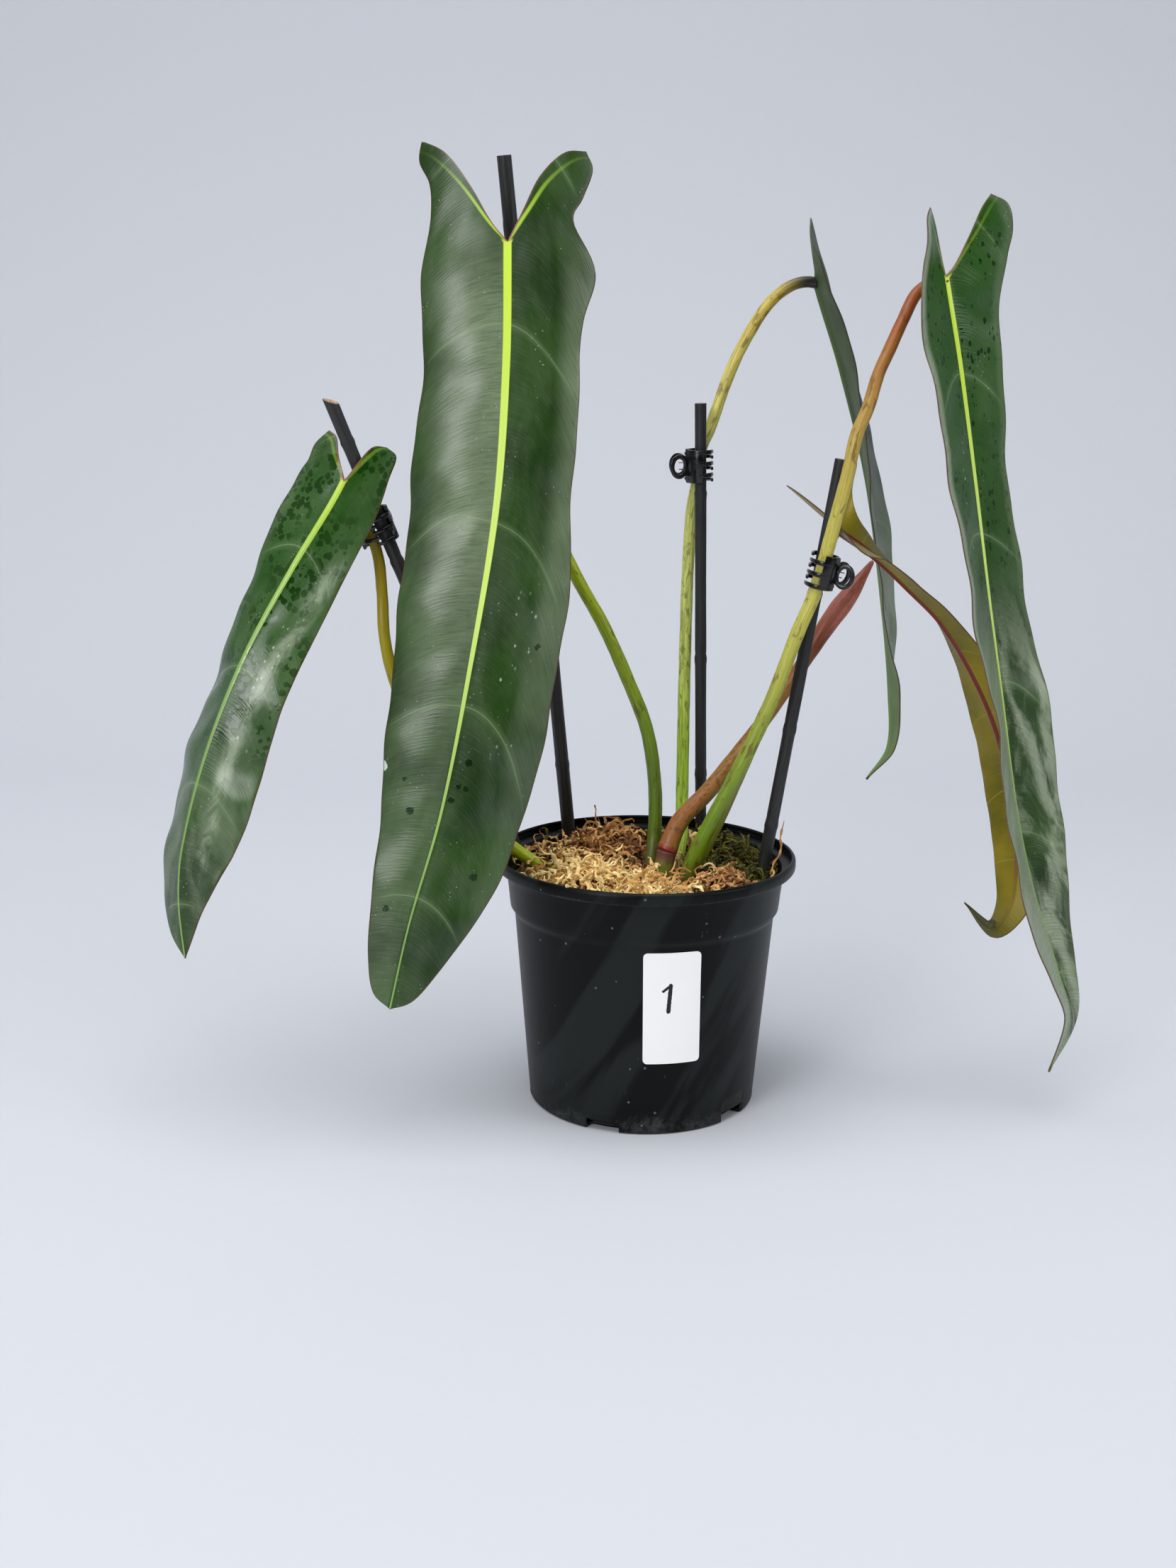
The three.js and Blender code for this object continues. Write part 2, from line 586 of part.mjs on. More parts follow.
// The moss: a plug that fills the pot, with a mounded top
function mossBody() {
  const p = POT;
  const inset = p.wall + 2 * GAP;
  const edgeZ = MOSS.level - MOSS.edgeDrop;
  const collarSlope = (p.collarTopRadius - p.collarRadius) / (p.lipLow - p.stepHigh);
  const edgeRadius = p.collarRadius + collarSlope * (edgeZ - p.stepHigh) - inset;
  const corner = bodyRadius(p.cornerHeight) - inset;
  const profile = [
    [0, p.floor + GAP], [corner - 2 * p.wall, p.floor + GAP], [corner, p.floor + 2 * p.wall],
    [bodyRadius(p.stepLow) - inset, p.stepLow - GAP], [p.collarRadius - inset, p.stepHigh + p.wall],
    [edgeRadius, edgeZ],
  ];
  for (let k = MOSS.rings - 1; k >= 0; k -= 1) profile.push([(edgeRadius * k) / MOSS.rings, MOSS.level]);
  const geometry = turned(profile, MOSS.sides);
  const position = geometry.attributes.position;
  for (let k = 0; k < position.count; k += 1) {
    if (position.getZ(k) > edgeZ + GAP) {
      const x = position.getX(k);
      const y = position.getY(k);
      const mound = Math.sin(x * 0.13 + 1) * Math.cos(y * 0.11) + 0.5 * Math.sin(x * 0.31 + y * 0.27);
      position.setZ(k, MOSS.level + MOSS.mound * mound);
    }
  }
  return solid(geometry);
}

// The section of one jaw, for the side of y that it lies on: whole at a tooth, short at the plate
function jawSection(side, isTooth) {
  const { outerFace, innerFace, plateEnd } = CLIP;
  const nearer = ([x]) => x < plateEnd[0][0];
  const section = isTooth
    ? outerFace.concat(innerFace)
    : outerFace.filter(nearer).concat(plateEnd, innerFace.filter(nearer));
  return new THREE.Shape(section.map(([x, y]) => new THREE.Vector2(x, y * side)));
}

function slab(shape, low, high) {
  const geometry = new THREE.ExtrudeGeometry(shape, {
    depth: high - low,
    bevelEnabled: false,
    curveSegments: 6,
  });
  return solid(geometry.translate(0, 0, low));
}

// The ear that runs from a jaw's plate round the pin
function lug(side, low) {
  const shape = new THREE.Shape();
  shape.moveTo(0.1, 4.4 * side);
  shape.lineTo(-1.15, 2.65 * side);
  shape.absarc(0, 0, CLIP.lugRadius, -Math.PI * side, 0, side < 0);
  shape.lineTo(1.4, 4.4 * side);
  const hole = new THREE.Path();
  hole.absarc(0, 0, CLIP.pinRadius + GAP, 0, 2 * Math.PI, false);
  shape.holes.push(hole);
  return slab(shape, low, low + CLIP.lugWidth);
}

// The finger ring of a jaw with its root, before it is turned to its place
function handleParts() {
  const c = CLIP;
  const halfLength = c.ringLength / 2;
  const halfHeight = c.ringHeight / 2;
  const ring = new THREE.Shape();
  ring.absellipse(0, 0, halfLength, halfHeight, 0, 2 * Math.PI, false);
  const hole = new THREE.Path();
  hole.absellipse(0, 0, halfLength - c.ringBand, halfHeight - c.ringBand, 0, 2 * Math.PI, false);
  ring.holes.push(hole);
  const handle = new THREE.ExtrudeGeometry(ring, {
    depth: c.ringThickness,
    bevelEnabled: false,
    curveSegments: 8,
  });
  handle.translate(0, 0, -c.ringThickness / 2);
  handle.rotateX(Math.PI / 2);
  handle.translate(-halfLength - c.ringStart, 0, 0);
  const root = new THREE.BoxGeometry(c.rootLength, c.ringThickness, c.rootHeight);
  root.translate(-1, 0, 0);
  return [handle, root];
}

function jawBody(side) {
  const c = CLIP;
  const half = c.height / 2;
  const firstTooth = side > 0 ? -2.5 : -1.5;
  let body = slab(jawSection(side, false), -half, half);
  for (let k = 0; k < c.teeth; k += 1) {
    const middle = (firstTooth + 2 * k) * c.toothPitch;
    body = body.add(slab(jawSection(side, true), middle - c.toothWidth / 2, middle + c.toothWidth / 2));
  }
  body = body.add(lug(side, c.lugInside[side]));
  body = body.add(lug(side, -c.lugInside[side] - c.lugWidth));
  for (const geometry of handleParts()) {
    geometry.translate(0, c.handleOffset * side, 0);
    geometry.rotateZ(-radians(c.handleAngle) * side);
    body = body.add(solid(geometry));
  }
  return body;
}

// The torsion spring on the pin: a coil whose two legs lie inside the two handles
function springGeometry() {
  const c = CLIP;
  const steps = c.springTurns * 8;
  const half = (c.springTurns * c.springPitch) / 2;
  const startAngle = radians(c.legAngle) - Math.PI / 2;
  const sweep = 2 * Math.PI * c.springTurns - 2 * radians(c.legAngle) - Math.PI;
  const onCoil = (angle, z) => {
    const spot = new THREE.Vector3(Math.cos(angle), Math.sin(angle), 0);
    return spot.multiplyScalar(c.springRadius).setZ(z);
  };
  const legEnd = (angle, z, reach) => {
    const along = new THREE.Vector3(-Math.sin(angle), Math.cos(angle), 0);
    return onCoil(angle, z).addScaledVector(along, reach);
  };
  const route = [legEnd(startAngle, -half, -c.legLength)];
  for (let k = 0; k <= steps; k += 1) {
    const t = k / steps;
    route.push(onCoil(startAngle + sweep * t, half * (2 * t - 1)));
  }
  route.push(legEnd(startAngle + sweep, half, c.legLength));
  return limb({ route: route.map((point) => point.toArray()), radii: [c.wire, c.wire] }, c.wireSides);
}

function addClip(name, clip) {
  const cane = CANES[clip.cane];
  const foot = vector(cane.foot);
  const up = vector(cane.tip).sub(foot).normalize();
  const onCane = foot.clone().addScaledVector(up, (clip.height - foot.z) / up.z);
  const noseWish = vector(clip.nose);
  const nose = noseWish.addScaledVector(up, -noseWish.dot(up)).normalize();
  const across = new THREE.Vector3().crossVectors(up, nose);
  for (const direction of [nose, up]) direction.applyAxisAngle(across, radians(clip.lean));
  const place = new THREE.Group();
  place.quaternion.setFromRotationMatrix(new THREE.Matrix4().makeBasis(nose, across, up));
  place.position.copy(onCane);
  place.position.addScaledVector(across, -clip.stakeSide * CLIP.halfPair);
  place.position.addScaledVector(nose, -CLIP.hold);
  group.add(place);
  addMesh(`clip_${name}_stake_jaw`, geometryOf(jawBody(clip.stakeSide)), CLIP_BLACK, place);
  addMesh(`clip_${name}_petiole_jaw`, geometryOf(jawBody(-clip.stakeSide)), CLIP_BLACK, place);
  const pin = new THREE.CylinderGeometry(CLIP.pinRadius, CLIP.pinRadius, CLIP.height - 0.6, 10);
  addMesh(`clip_${name}_pin`, pin.rotateX(Math.PI / 2), SPRING_STEEL, place);
  addMesh(`clip_${name}_spring`, springGeometry(), SPRING_STEEL, place);
}

// Pot and sticker
addMesh('nursery_pot', geometryOf(potBody()), POT_BLACK);
addMesh('number_label', labelGeometry(), PAPER_WHITE);

// The plant. Each stalk stops a gap short of the crown below and of its blade above.
const crown = limb(STEM, LIMB.crownSides);
const crownRoom = solid(limb(STEM, LIMB.crownSides, GAP));
const planted = [crownRoom];
addMesh('stem', crown, STALK_GREEN);
const shoot = solid(limb(SHOOT, LIMB.sides)).subtract(crownRoom);
addMesh('new_shoot', geometryOf(largest(shoot)), SHOOT_BROWN);
planted.push(solid(limb(SHOOT, LIMB.sides, GAP)));
for (const [name, stalk] of Object.entries(STALKS)) {
  const bladeRoom = solid(bladeGeometry(BLADES[name], LEAF_THICKNESS + 2 * GAP));
  const body = solid(limb(stalk, LIMB.sides)).subtract(crownRoom).subtract(bladeRoom);
  const leafFinish = name === 'young' ? YOUNG_OLIVE : LEAF_GREEN;
  addMesh(`petiole_${name}`, geometryOf(largest(body)), STALK_GREEN);
  addMesh(`leaf_${name}`, bladeGeometry(BLADES[name], LEAF_THICKNESS), leafFinish);
  planted.push(solid(limb(stalk, LIMB.sides, GAP)));
}

// Canes and clips
for (const [name, cane] of Object.entries(CANES)) {
  addMesh(`stake_${name}`, caneGeometry(cane), CANE_BLACK);
  planted.push(solid(caneGeometry(cane, GAP)));
}
for (const [name, clip] of Object.entries(CLIPS)) addClip(name, clip);

// The moss, with room for everything that stands in it
let moss = mossBody();
for (const piece of planted) moss = moss.subtract(piece);
addMesh('sphagnum_moss', geometryOf(largest(moss)), MOSS_TAN);

export default group;
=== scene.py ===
"""A potted philodendron spiritus-sancti: pot, moss, leaves, stalks, canes and clips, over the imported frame.

The frame's pieces give the places. Every piece here is worked out in the same frame, in millimetres,
and goes into its mesh in metres. +Z is up, -Y is the pot's front.
"""

import json
import math

import bpy
import numpy as np
from mathutils import Matrix


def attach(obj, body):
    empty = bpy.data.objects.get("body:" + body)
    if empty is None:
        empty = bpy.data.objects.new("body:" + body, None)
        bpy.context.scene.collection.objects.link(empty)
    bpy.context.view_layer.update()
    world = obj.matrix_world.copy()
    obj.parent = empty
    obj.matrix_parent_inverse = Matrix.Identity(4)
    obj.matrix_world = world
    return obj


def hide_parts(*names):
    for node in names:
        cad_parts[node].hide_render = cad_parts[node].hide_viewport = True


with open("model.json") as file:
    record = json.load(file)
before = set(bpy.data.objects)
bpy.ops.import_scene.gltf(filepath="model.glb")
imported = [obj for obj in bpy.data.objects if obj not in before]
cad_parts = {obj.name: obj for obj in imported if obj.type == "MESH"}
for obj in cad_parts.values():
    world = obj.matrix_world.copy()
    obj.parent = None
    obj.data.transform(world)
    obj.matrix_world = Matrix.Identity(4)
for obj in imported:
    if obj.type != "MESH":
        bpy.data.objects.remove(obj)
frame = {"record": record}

bl_info = {
    "name": "Potted philodendron",
    "version": (1, 0, 0),
    "blender": (4, 5, 0),
    "location": "3D View > Sidebar > Plant",
    "description": "Makes the pot, moss, leaves, stalks, canes and clips of a potted philodendron",
    "category": "Add Mesh",
}

MM = 0.001
PLANT_BODY = "potted_plant"
BODY_OF_NODE = {
    node: body
    for body, nodes in frame["record"]["behaviour"]["bodies"].items()
    for node in nodes
}

# The pot: radii and heights of its wall, and the notches cut in its bottom corner
POT = {"base_radius": 49.6, "body_top_radius": 56.3, "corner_height": 3.5, "step_low": 84.5, "wall": 1.4}
NOTCH = {"count": 5, "first_angle": -111, "width": 15, "height": 5, "depth": 6}

# The sticker: its angle round the pot, its height above the base, its size and how far its foot leans
LABEL = {
    "angle": -79.5, "half_angle": 12.9, "low": 33, "high": 82.6, "corner": 1.9, "thickness": 0.3, "gap": 0.15,
    "lean": 1.4,
}
# The number's two strokes: start, end and half width, in millimetres from the sticker's lower left corner
INK_STROKES = (((11.4, 35.2, 0), (10.5, 23.6, 0), 0.88), ((8.3, 32.7, 0), (11.3, 35.1, 0), 0.58))

# The moss: the level of its surface, the height of its waves, its radius, how far its strands keep from the
# stalks, and up to which height they need to
MOSS = {"level": 100.5, "mound": 2.2, "radius": 57.2, "stalk_gap": 3.4, "stalk_top": 125}

# Canes: where each meets the moss, its tip, its radius, how far it is pushed in and its oblique cut
CANES = {
    "front": {"foot": (-32.9, 34, 103.9), "tip": (-61.3, 8, 396.3), "radius": 3.1, "depth": 60, "slant": 0},
    "left": {"foot": (-53.4, 8, 102), "tip": (-128, -27, 300), "radius": 2.85, "depth": 70, "slant": 0.75},
    "back": {"foot": (26.4, 36, 103.1), "tip": (21.1, 29, 299.4), "radius": 2.6, "depth": 60, "slant": 0},
    "right": {"foot": (50, -8, 102), "tip": (76.1, -13, 278.8), "radius": 2.8, "depth": 80, "slant": 0},
}

# Stalks: the route of each from the crown to the sinus of its leaf, and its radius at both ends
STALKS = {
    "front": {
        "radii": (3.2, 2.4),
        "route": [(4, -3, 88), (2.6, -1, 102), (4.1, 3, 118), (3.8, 4, 139), (-0.1, 4, 163), (-8.8, 5, 185),
                  (-19, 6.5, 207), (-31, 8.5, 228), (-42, 11, 252), (-48.8, 12.2, 275), (-51, 11.4, 289.6),
                  (-52.9, 9.7, 309.4), (-54.8, 6, 327), (-57.2, -5, 347), (-58.3, -15, 354.5),
                  (-58.5, -22.6, 356.6)],
    },
    "left": {
        "radii": (3.0, 2.2),
        "route": [(2, -4, 84), (-12, -6, 92), (-27, -7, 95.5), (-40, -6.5, 102), (-58, -12, 115.5),
                  (-81, -19, 142.6), (-98.2, -22, 170.4), (-105.6, -22, 190), (-109, -20.6, 206),
                  (-110, -17.8, 223), (-111.9, -16.6, 239.6), (-118.7, -19.8, 258.1),
                  (-121.8, -21.6, 264.5), (-123.3, -24.6, 266.8)],
    },
    "back": {
        "radii": (2.9, 2.4),
        "route": [(8, 0, 84), (13.5, 11, 97), (16.6, 20, 111.5), (17, 28, 124), (17.2, 33, 141),
                  (17.3, 36.5, 184), (17.8, 38, 228), (18.9, 37.6, 254), (20.7, 36, 266), (22.2, 35.9, 280),
                  (25.4, 36.6, 287.5), (28.3, 37.5, 296), (32.3, 38, 308), (36.8, 39, 319), (42, 40, 329),
                  (48, 41.5, 338.5), (54, 43, 345), (60.5, 44, 349), (66, 45, 350.2), (70.2, 45, 349.8)],
    },
    "right": {
        "radii": (3.4, 2.5),
        "route": [(7, -9, 86), (12.5, -16.5, 94), (16.2, -20.2, 103), (21.6, -21.5, 118), (26.7, -22, 129),
                  (37, -21.8, 150.4), (50.8, -20.6, 181.8), (60, -19, 208), (67.1, -17.4, 225.6),
                  (70.9, -18, 241), (74.1, -19.4, 256), (77.7, -20, 272), (81.2, -18, 289.1),
                  (85.5, -15, 298.9), (89.7, -11.5, 312.5), (94.4, -8, 322.5), (99.3, -4.5, 333),
                  (106, 0, 345), (112.3, -0.6, 348.6), (116.4, -4.6, 347)],
    },
    "young": {
        "radii": (2.2, 1.9),
        "route": [(9, -3, 87), (17, -8, 95), (21, -11, 105), (29.6, -11, 123.1), (41.1, -9.5, 150.5),
                  (58, -5.5, 192.6), (67.9, -2.6, 224.6), (72.7, -0.4, 238.3), (75.2, 1, 243.9),
                  (77.4, 3.8, 247.4)],
    },
}
STEM = {"route": [(2, -2, 62), (4.5, -4.5, 84), (7.2, -6.8, 101), (9.1, -6.1, 111.6)],
        "radii": (7.5, 6.6, 4.3, 4.2)}
SHOOT = {
    "route": [
        (9.3, -6, 112.6), (14.3, -3.2, 123.9), (27.1, 2, 137), (39.2, 6, 151.8), (57.2, 11, 175.9),
        (78, 17.5, 208.2), (87.2, 20.5, 220.5), (95.5, 23.5, 232.5),
    ],
    "radii": (4.2, 3.8, 3.6, 3.3, 2.9, 2.9, 3.7, 4.2, 1.2),
}

# Blades. The spine's first point is level with the tips of the lobes, its second is the sinus and its
# last is the leaf's tip. Facing turns the upper side about the vertical, and the folds lift the two
# halves, -1 left of the spine and 1 right of it, in degrees. Outlines are (distance along the spine from the
# sinus, distance from the spine): each lobe from its tip outwards, the edge of the sinus from that tip
# inwards without its ends, and the margin from the lobe down to the leaf's tip, without the tip.
BLADES = {
    "front": {
        "length": 308, "curl": -14,
        "spine": [(-59, -14, 401), (-58.5, -22, 361.3), (-58.6, -31, 315), (-62.1, -40, 260.4),
                  (-72.7, -49, 194.6), (-83.4, -57, 140.4), (-96, -65, 96), (-103.5, -70, 62.5)],
        "facing": (0, 0, 0, -2, -4, -6, -8, -10),
        "fold": {-1: (6, 8, 7, 6, 6, 6, 5, 0), 1: (10, 8, 7, 6, 6, 6, 5, 0)},
        "lobe": {-1: [(-41, 34), (-33, 35.5), (-24, 31.5), (-12, 31)],
                 1: [(-36, 31), (-29, 33.8), (-18, 30), (-8, 26)]},
        "sinus": {-1: [(-35, 24), (-22, 14.5), (-8, 6.5)], 1: [(-34.5, 22), (-25, 12.5), (-12, 6)]},
        "margin": {-1: [(10, 34.4), (50, 34), (93, 36.4), (128, 35), (170, 32.4), (205, 28.6), (241, 23),
                        (270, 17), (290, 13.5), (303, 8.5)],
                   1: [(11, 34.7), (30, 30), (55, 29.3), (95, 29.2), (128, 33.4), (175, 34.8), (217, 33),
                       (247, 29.6), (275, 21.8), (292, 14.5), (303, 8)]},
    },
    "left": {
        "length": 208, "curl": -8,
        "spine": [(-117.3, -25, 289), (-123.4, -28, 269.1), (-143, -38, 235.4), (-162, -44, 201),
                  (-177.3, -50, 163), (-187.3, -55, 125), (-189, -58, 104), (-186.6, -62, 80.3)],
        "facing": (-8, -12, -22, -34, -36, -36, -32, -20),
        "fold": {-1: (-4, -8, -14, -22, -22, -20, -18, -10), 1: (-14, -10, -12, -16, -16, -16, -14, -10)},
        "lobe": {-1: [(-18, 12), (-11, 17.5), (-2, 19)], 1: [(-17.5, 12.5), (-14.5, 17), (-5, 16.4)]},
        "sinus": {-1: [(-16, 8.3), (-9, 5.6)], 1: [(-16, 7), (-9, 3)]},
        "margin": {-1: [(8, 21), (28, 20.4), (60, 20), (95, 22.5), (125, 26), (150, 25), (175, 18.6),
                        (195, 9.5)],
                   1: [(8, 18), (28, 19.4), (60, 21.5), (95, 23), (130, 25), (152, 23.6), (175, 17),
                       (194, 7.5)]},
    },
    "back": {
        "length": 234, "curl": 4,
        "spine": [(63.4, 43, 375.5), (70.8, 46, 349.5), (83.4, 49, 314), (97.2, 52, 265.7),
                  (107.7, 56, 206), (112.2, 57.5, 170), (112.6, 57, 145), (103, 54, 130.4)],
        "facing": (84, 86, 86, 81, 81, 87, 90, 92),
        "fold": {-1: (14, 12, 12, 0, 0, 11, 11, 6), 1: (14, 12, 10, 10, 12, 8, 8, 4)},
        "lobe": {-1: [(-17, 8), (-12, 13), (-3, 16)], 1: [(-27, 12), (-18, 15), (-6, 17.5)]},
        "sinus": {-1: [(-13, 4), (-6, 2)], 1: [(-20, 6.5), (-9, 3)]},
        "margin": {-1: [(8, 18), (40, 19.5), (85, 21), (130, 21), (165, 18), (195, 13), (220, 7)],
                   1: [(8, 19.5), (40, 20.5), (85, 21.5), (130, 21.5), (165, 18.5), (195, 13), (220, 7)]},
    },
    "right": {
        "length": 338, "curl": 0,
        "spine": [(110, -3, 379), (115.6, -5, 350.5), (123.5, -3.5, 316.4), (132.1, -3, 271.6),
                  (141, -5, 220), (148.1, -8, 180), (156.3, -13, 132.8), (163.8, -17.5, 101.8),
                  (176, -23, 65), (181, -27, 46), (173, -32, 23)],
        "facing": (36, 40, 43, 50, 52, 52, 51, 49, 49, 50, 52),
        "fold": {-1: (26, 16, 9, 7, 11, 18, 20, 16, 12, 10, 6),
                 1: (24, 20, 9, 9, 13, 22, 22, 18, 12, 8, 6)},
        "lobe": {-1: [(-27, 6), (-22, 12.5), (-13, 15), (-4, 20)],
                 1: [(-29, 24), (-24, 31), (-14, 32), (-4, 29)]},
        "sinus": {-1: [(-20, 3), (-10, 1.5)], 1: [(-24, 19), (-14, 12.5), (-4, 5)]},
        "margin": {-1: [(12, 25), (35, 24.5), (80, 24), (133, 24), (174, 25), (222, 25), (254, 20),
                        (293, 11), (320, 5)],
                   1: [(12, 25.5), (35, 24), (80, 23), (133, 23.5), (174, 25), (222, 25), (254, 20.5),
                       (293, 12), (320, 5)]},
    },
    "young": {
        "length": 235, "curl": 0,
        "spine": [(54, 2, 268.5), (78.6, 5, 248.6), (94.7, 12, 237.7), (111.1, 16, 223.3),
                  (127.4, 19, 207.2), (143.7, 21, 181.9), (155, 20, 156), (163, 17, 122), (163.5, 11, 88),
                  (153.6, 3, 75.5), (139.5, 0, 88.5)],
        "facing": (88, 92, 95, 98, 106, 120, 134, 142, 142, 140, 138),
        "fold": {-1: (10, 15, 18, 18, 14, 12, 12, 12, 12, 14, 10),
                 1: (60, 40, 18, 18, 14, 12, 12, 12, 12, 14, 10)},
        "lobe": {-1: [(-31, 4.5), (-27, 8.5), (-12, 11)], 1: [(-8, 36), (-5.5, 33), (-1, 20)]},
        "sinus": {-1: [(-22, 2.5), (-8, 1.5)], 1: [(-9, 26), (-6, 10)]},
        "margin": {-1: [(6, 11), (25, 10), (60, 10.5), (95, 13), (130, 16), (165, 15), (190, 11), (212, 5)],
                   1: [(8, 10.5), (25, 9), (60, 10), (95, 13), (130, 14.5), (165, 13.5), (190, 10.5),
                       (212, 5)]},
    },
}
# The curl of a blade, in degrees, holds at this distance from its spine
CURL_REACH = 25
# Rows of a blade's mesh along its lobes and below the sinus, and the corners in each row
LOBE_ROWS, BLADE_ROWS, COLUMNS = 26, 150, 24
# The marks on a blade's corners: distance from the sinus along the spine, distance from the spine with its
# side, and the distances from the inner edge and the margin
BLADE_MARKS = ("along", "away", "core", "rim")
# Height, length and phase of the waves along each margin, and the height of the dimples between the veins
WAVES = {
    "front": (0.9, 62, 0.6, 0.10), "left": (0.8, 48, 2.1, 0.16), "back": (0.6, 55, 1.0, 0.12),
    "right": (0.9, 66, 3.0, 0.14), "young": (0.6, 40, 0.0, 0.1),
}

# Claw clips, in a clip's own axes: z is its hinge, x points to the tips of its teeth, and the cane and
# the stalk lie side by side across y
CLIP = {
    "height": 14, "hold": 5.1, "half_pair": 2.95,
    "outer": [(-1.2, 2.6), (1.2, 6.2), (3.6, 7.6), (6.4, 7.5), (9.1, 5.6), (10.5, 2.4), (10.7, -0.9)],
    "inner": [(0.2, 2.3), (2.1, 5.3), (3.9, 6.4), (6.0, 6.3), (8.2, 4.8), (9.4, 2.0), (9.6, -1.1)],
    "plate_share": 0.46, "tooth_width": 1.9, "tooth_pitch": 2.42, "teeth": 3,
    "pin_radius": 0.6, "eye_inner": 0.9, "eye_outer": 1.75, "eye_width": 1.0, "eye_inside": {-1: 4.8, 1: 3.4},
    "handle_angle": 25, "handle_offset": 2.1, "ring_length": 8.6, "ring_height": 10.4, "ring_band": 1.9,
    "ring_thickness": 1.3, "ring_start": 1.2, "root_length": 3.2, "root_height": 4.4,
    "spring_radius": 1.15, "wire": 0.28, "spring_turns": 3, "spring_pitch": 0.85, "leg_length": 4.5,
    "leg_angle": 13,
}
CLIPS = {
    "front": {"height": 300, "nose": (-1, 0, 0), "stake_side": -1, "lean": 0, "moving": "petiole"},
    "left": {"height": 251, "nose": (0, -1, 0), "stake_side": 1, "lean": 0, "moving": "petiole"},
    "back": {"height": 273, "nose": (1, 0, 0), "stake_side": -1, "lean": 0, "moving": "stake"},
    "right": {"height": 234, "nose": (-1, 0, 0), "stake_side": -1, "lean": -3.8, "moving": "petiole"},
}

# Finish of each blade, with distances in millimetres. Film (a dried film that is partly painted grey sheen),
# vivid (a clearer green near the sinus), ribs (painted sheen on their tops), lobe_vein and edge (a painted
# highlight band inside the left margin) are strengths, rough is the roughness and depth the relief. Drops
# have a share, size, stretch, start, end and darkness, side veins a spacing, a shift and their bend in the
# left and right half, and the midrib a width and where its tip colour starts and is full, as shares. Flakes
# lie between two distances along and two away. Glare (painted reflection of the bright sky) and strip (a
# painted highlight beside the midrib) have a start, where they are full and their strength, and black
# (painted shade) a strength that ends at its second distance. Shine (a painted light band) has its start and
# end along, its first and last place away, and its strength. The painted sheen has where it starts and is
# full in each half with its strength there, where along it starts, is full, lessens and is low, and its low
# share. Spots are wet and chips are white, each as (along, away, radius).
LEAF_FINISH = {
    "front": {
        "film": 0.10, "rough": 0.3, "vivid": 0.0, "ribs": 0.17, "depth": 0.36, "lobe_vein": 0.95, "edge": 0.0,
        "drops": (0.0, 2.4, 1.3, 175, 300, 0.8), "veins": (76, 33, 0.016, 0.036), "midrib": (1.0, 0.4, 0.9),
        "flakes": (130, 205, 11, 24), "glare": (-60, -40, 0.06),
        "haze": {"left": (-35, -13, 0.55), "right": (18, 27, 0.42), "along": (-20, 30, 120, 220),
                 "low": 0.32},
        "spots": [(204, 6.5, 1.5), (214, 4.5, 1.1), (214.5, 7.5, 1.1), (220, 2.8, 1.2), (228, -12.3, 1.7),
                  (216, -17.4, 0.9), (247, 19, 1.6), (269, -11, 1.4), (154, 25, 1.2)],
        "chips": [(213, -27.6, 2.0), (217, -28.4, 1.3)],
    },
    "left": {
        "film": 0.2, "rough": 0.26, "vivid": 0.5, "ribs": 0.1, "depth": 0.25, "lobe_vein": 0.3, "edge": 0.1,
        "drops": (0.95, 2.7, 1.1, -30, 128, 0.6), "veins": (52, 9, 0.03, 0.03), "midrib": (0.72, -0.3, 0.5),
        "flakes": (48, 132, 7, 17), "glare": (90, 170, 0.2), "shine": (20, 190, 15.5, 10, 0.7),
        "haze": {"left": (-22, -12, 0.04), "right": (4, 12, 0.1), "along": (-50, 20, 120, 200), "low": 0.4},
    },
    "back": {
        "film": 0.3, "rough": 0.36, "vivid": 0.0, "ribs": 0.2, "depth": 0.6, "lobe_vein": 0.2, "edge": 0.2,
        "drops": (0.2, 2.0, 1.8, -30, 90, 0.8), "veins": (60, 2, 0.03, 0.03), "midrib": (0.6, 0.0, 0.5),
        "flakes": (190, 260, 2, 7), "glare": (60, 150, 0.4), "strip": (90, 200, 0.5),
        # Painted shade over the top of the blade
        "black": (60, 186, 0.66),
        "haze": {"left": (-9, -4, 0.0), "right": (3, 8, 0.2), "along": (60, 120, 200, 260), "low": 0.5},
    },
    "right": {
        "film": 0.08, "rough": 0.28, "vivid": 0.6, "ribs": 0.15, "depth": 0.4, "lobe_vein": 0.3, "edge": 0.75,
        "drops": (0.6, 1.9, 1.5, -25, 165, 0.8), "veins": (64, 14, 0.035, 0.035), "midrib": (0.95, 0.3, 0.75),
        "flakes": (60, 120, -14, -5), "glare": (110, 190, 0.85), "strip": (120, 190, 0.8),
        "haze": {"left": (-16, -8, 0.0), "right": (6, 14, 0.05), "along": (0, 80, 200, 260), "low": 0.5},
    },
}

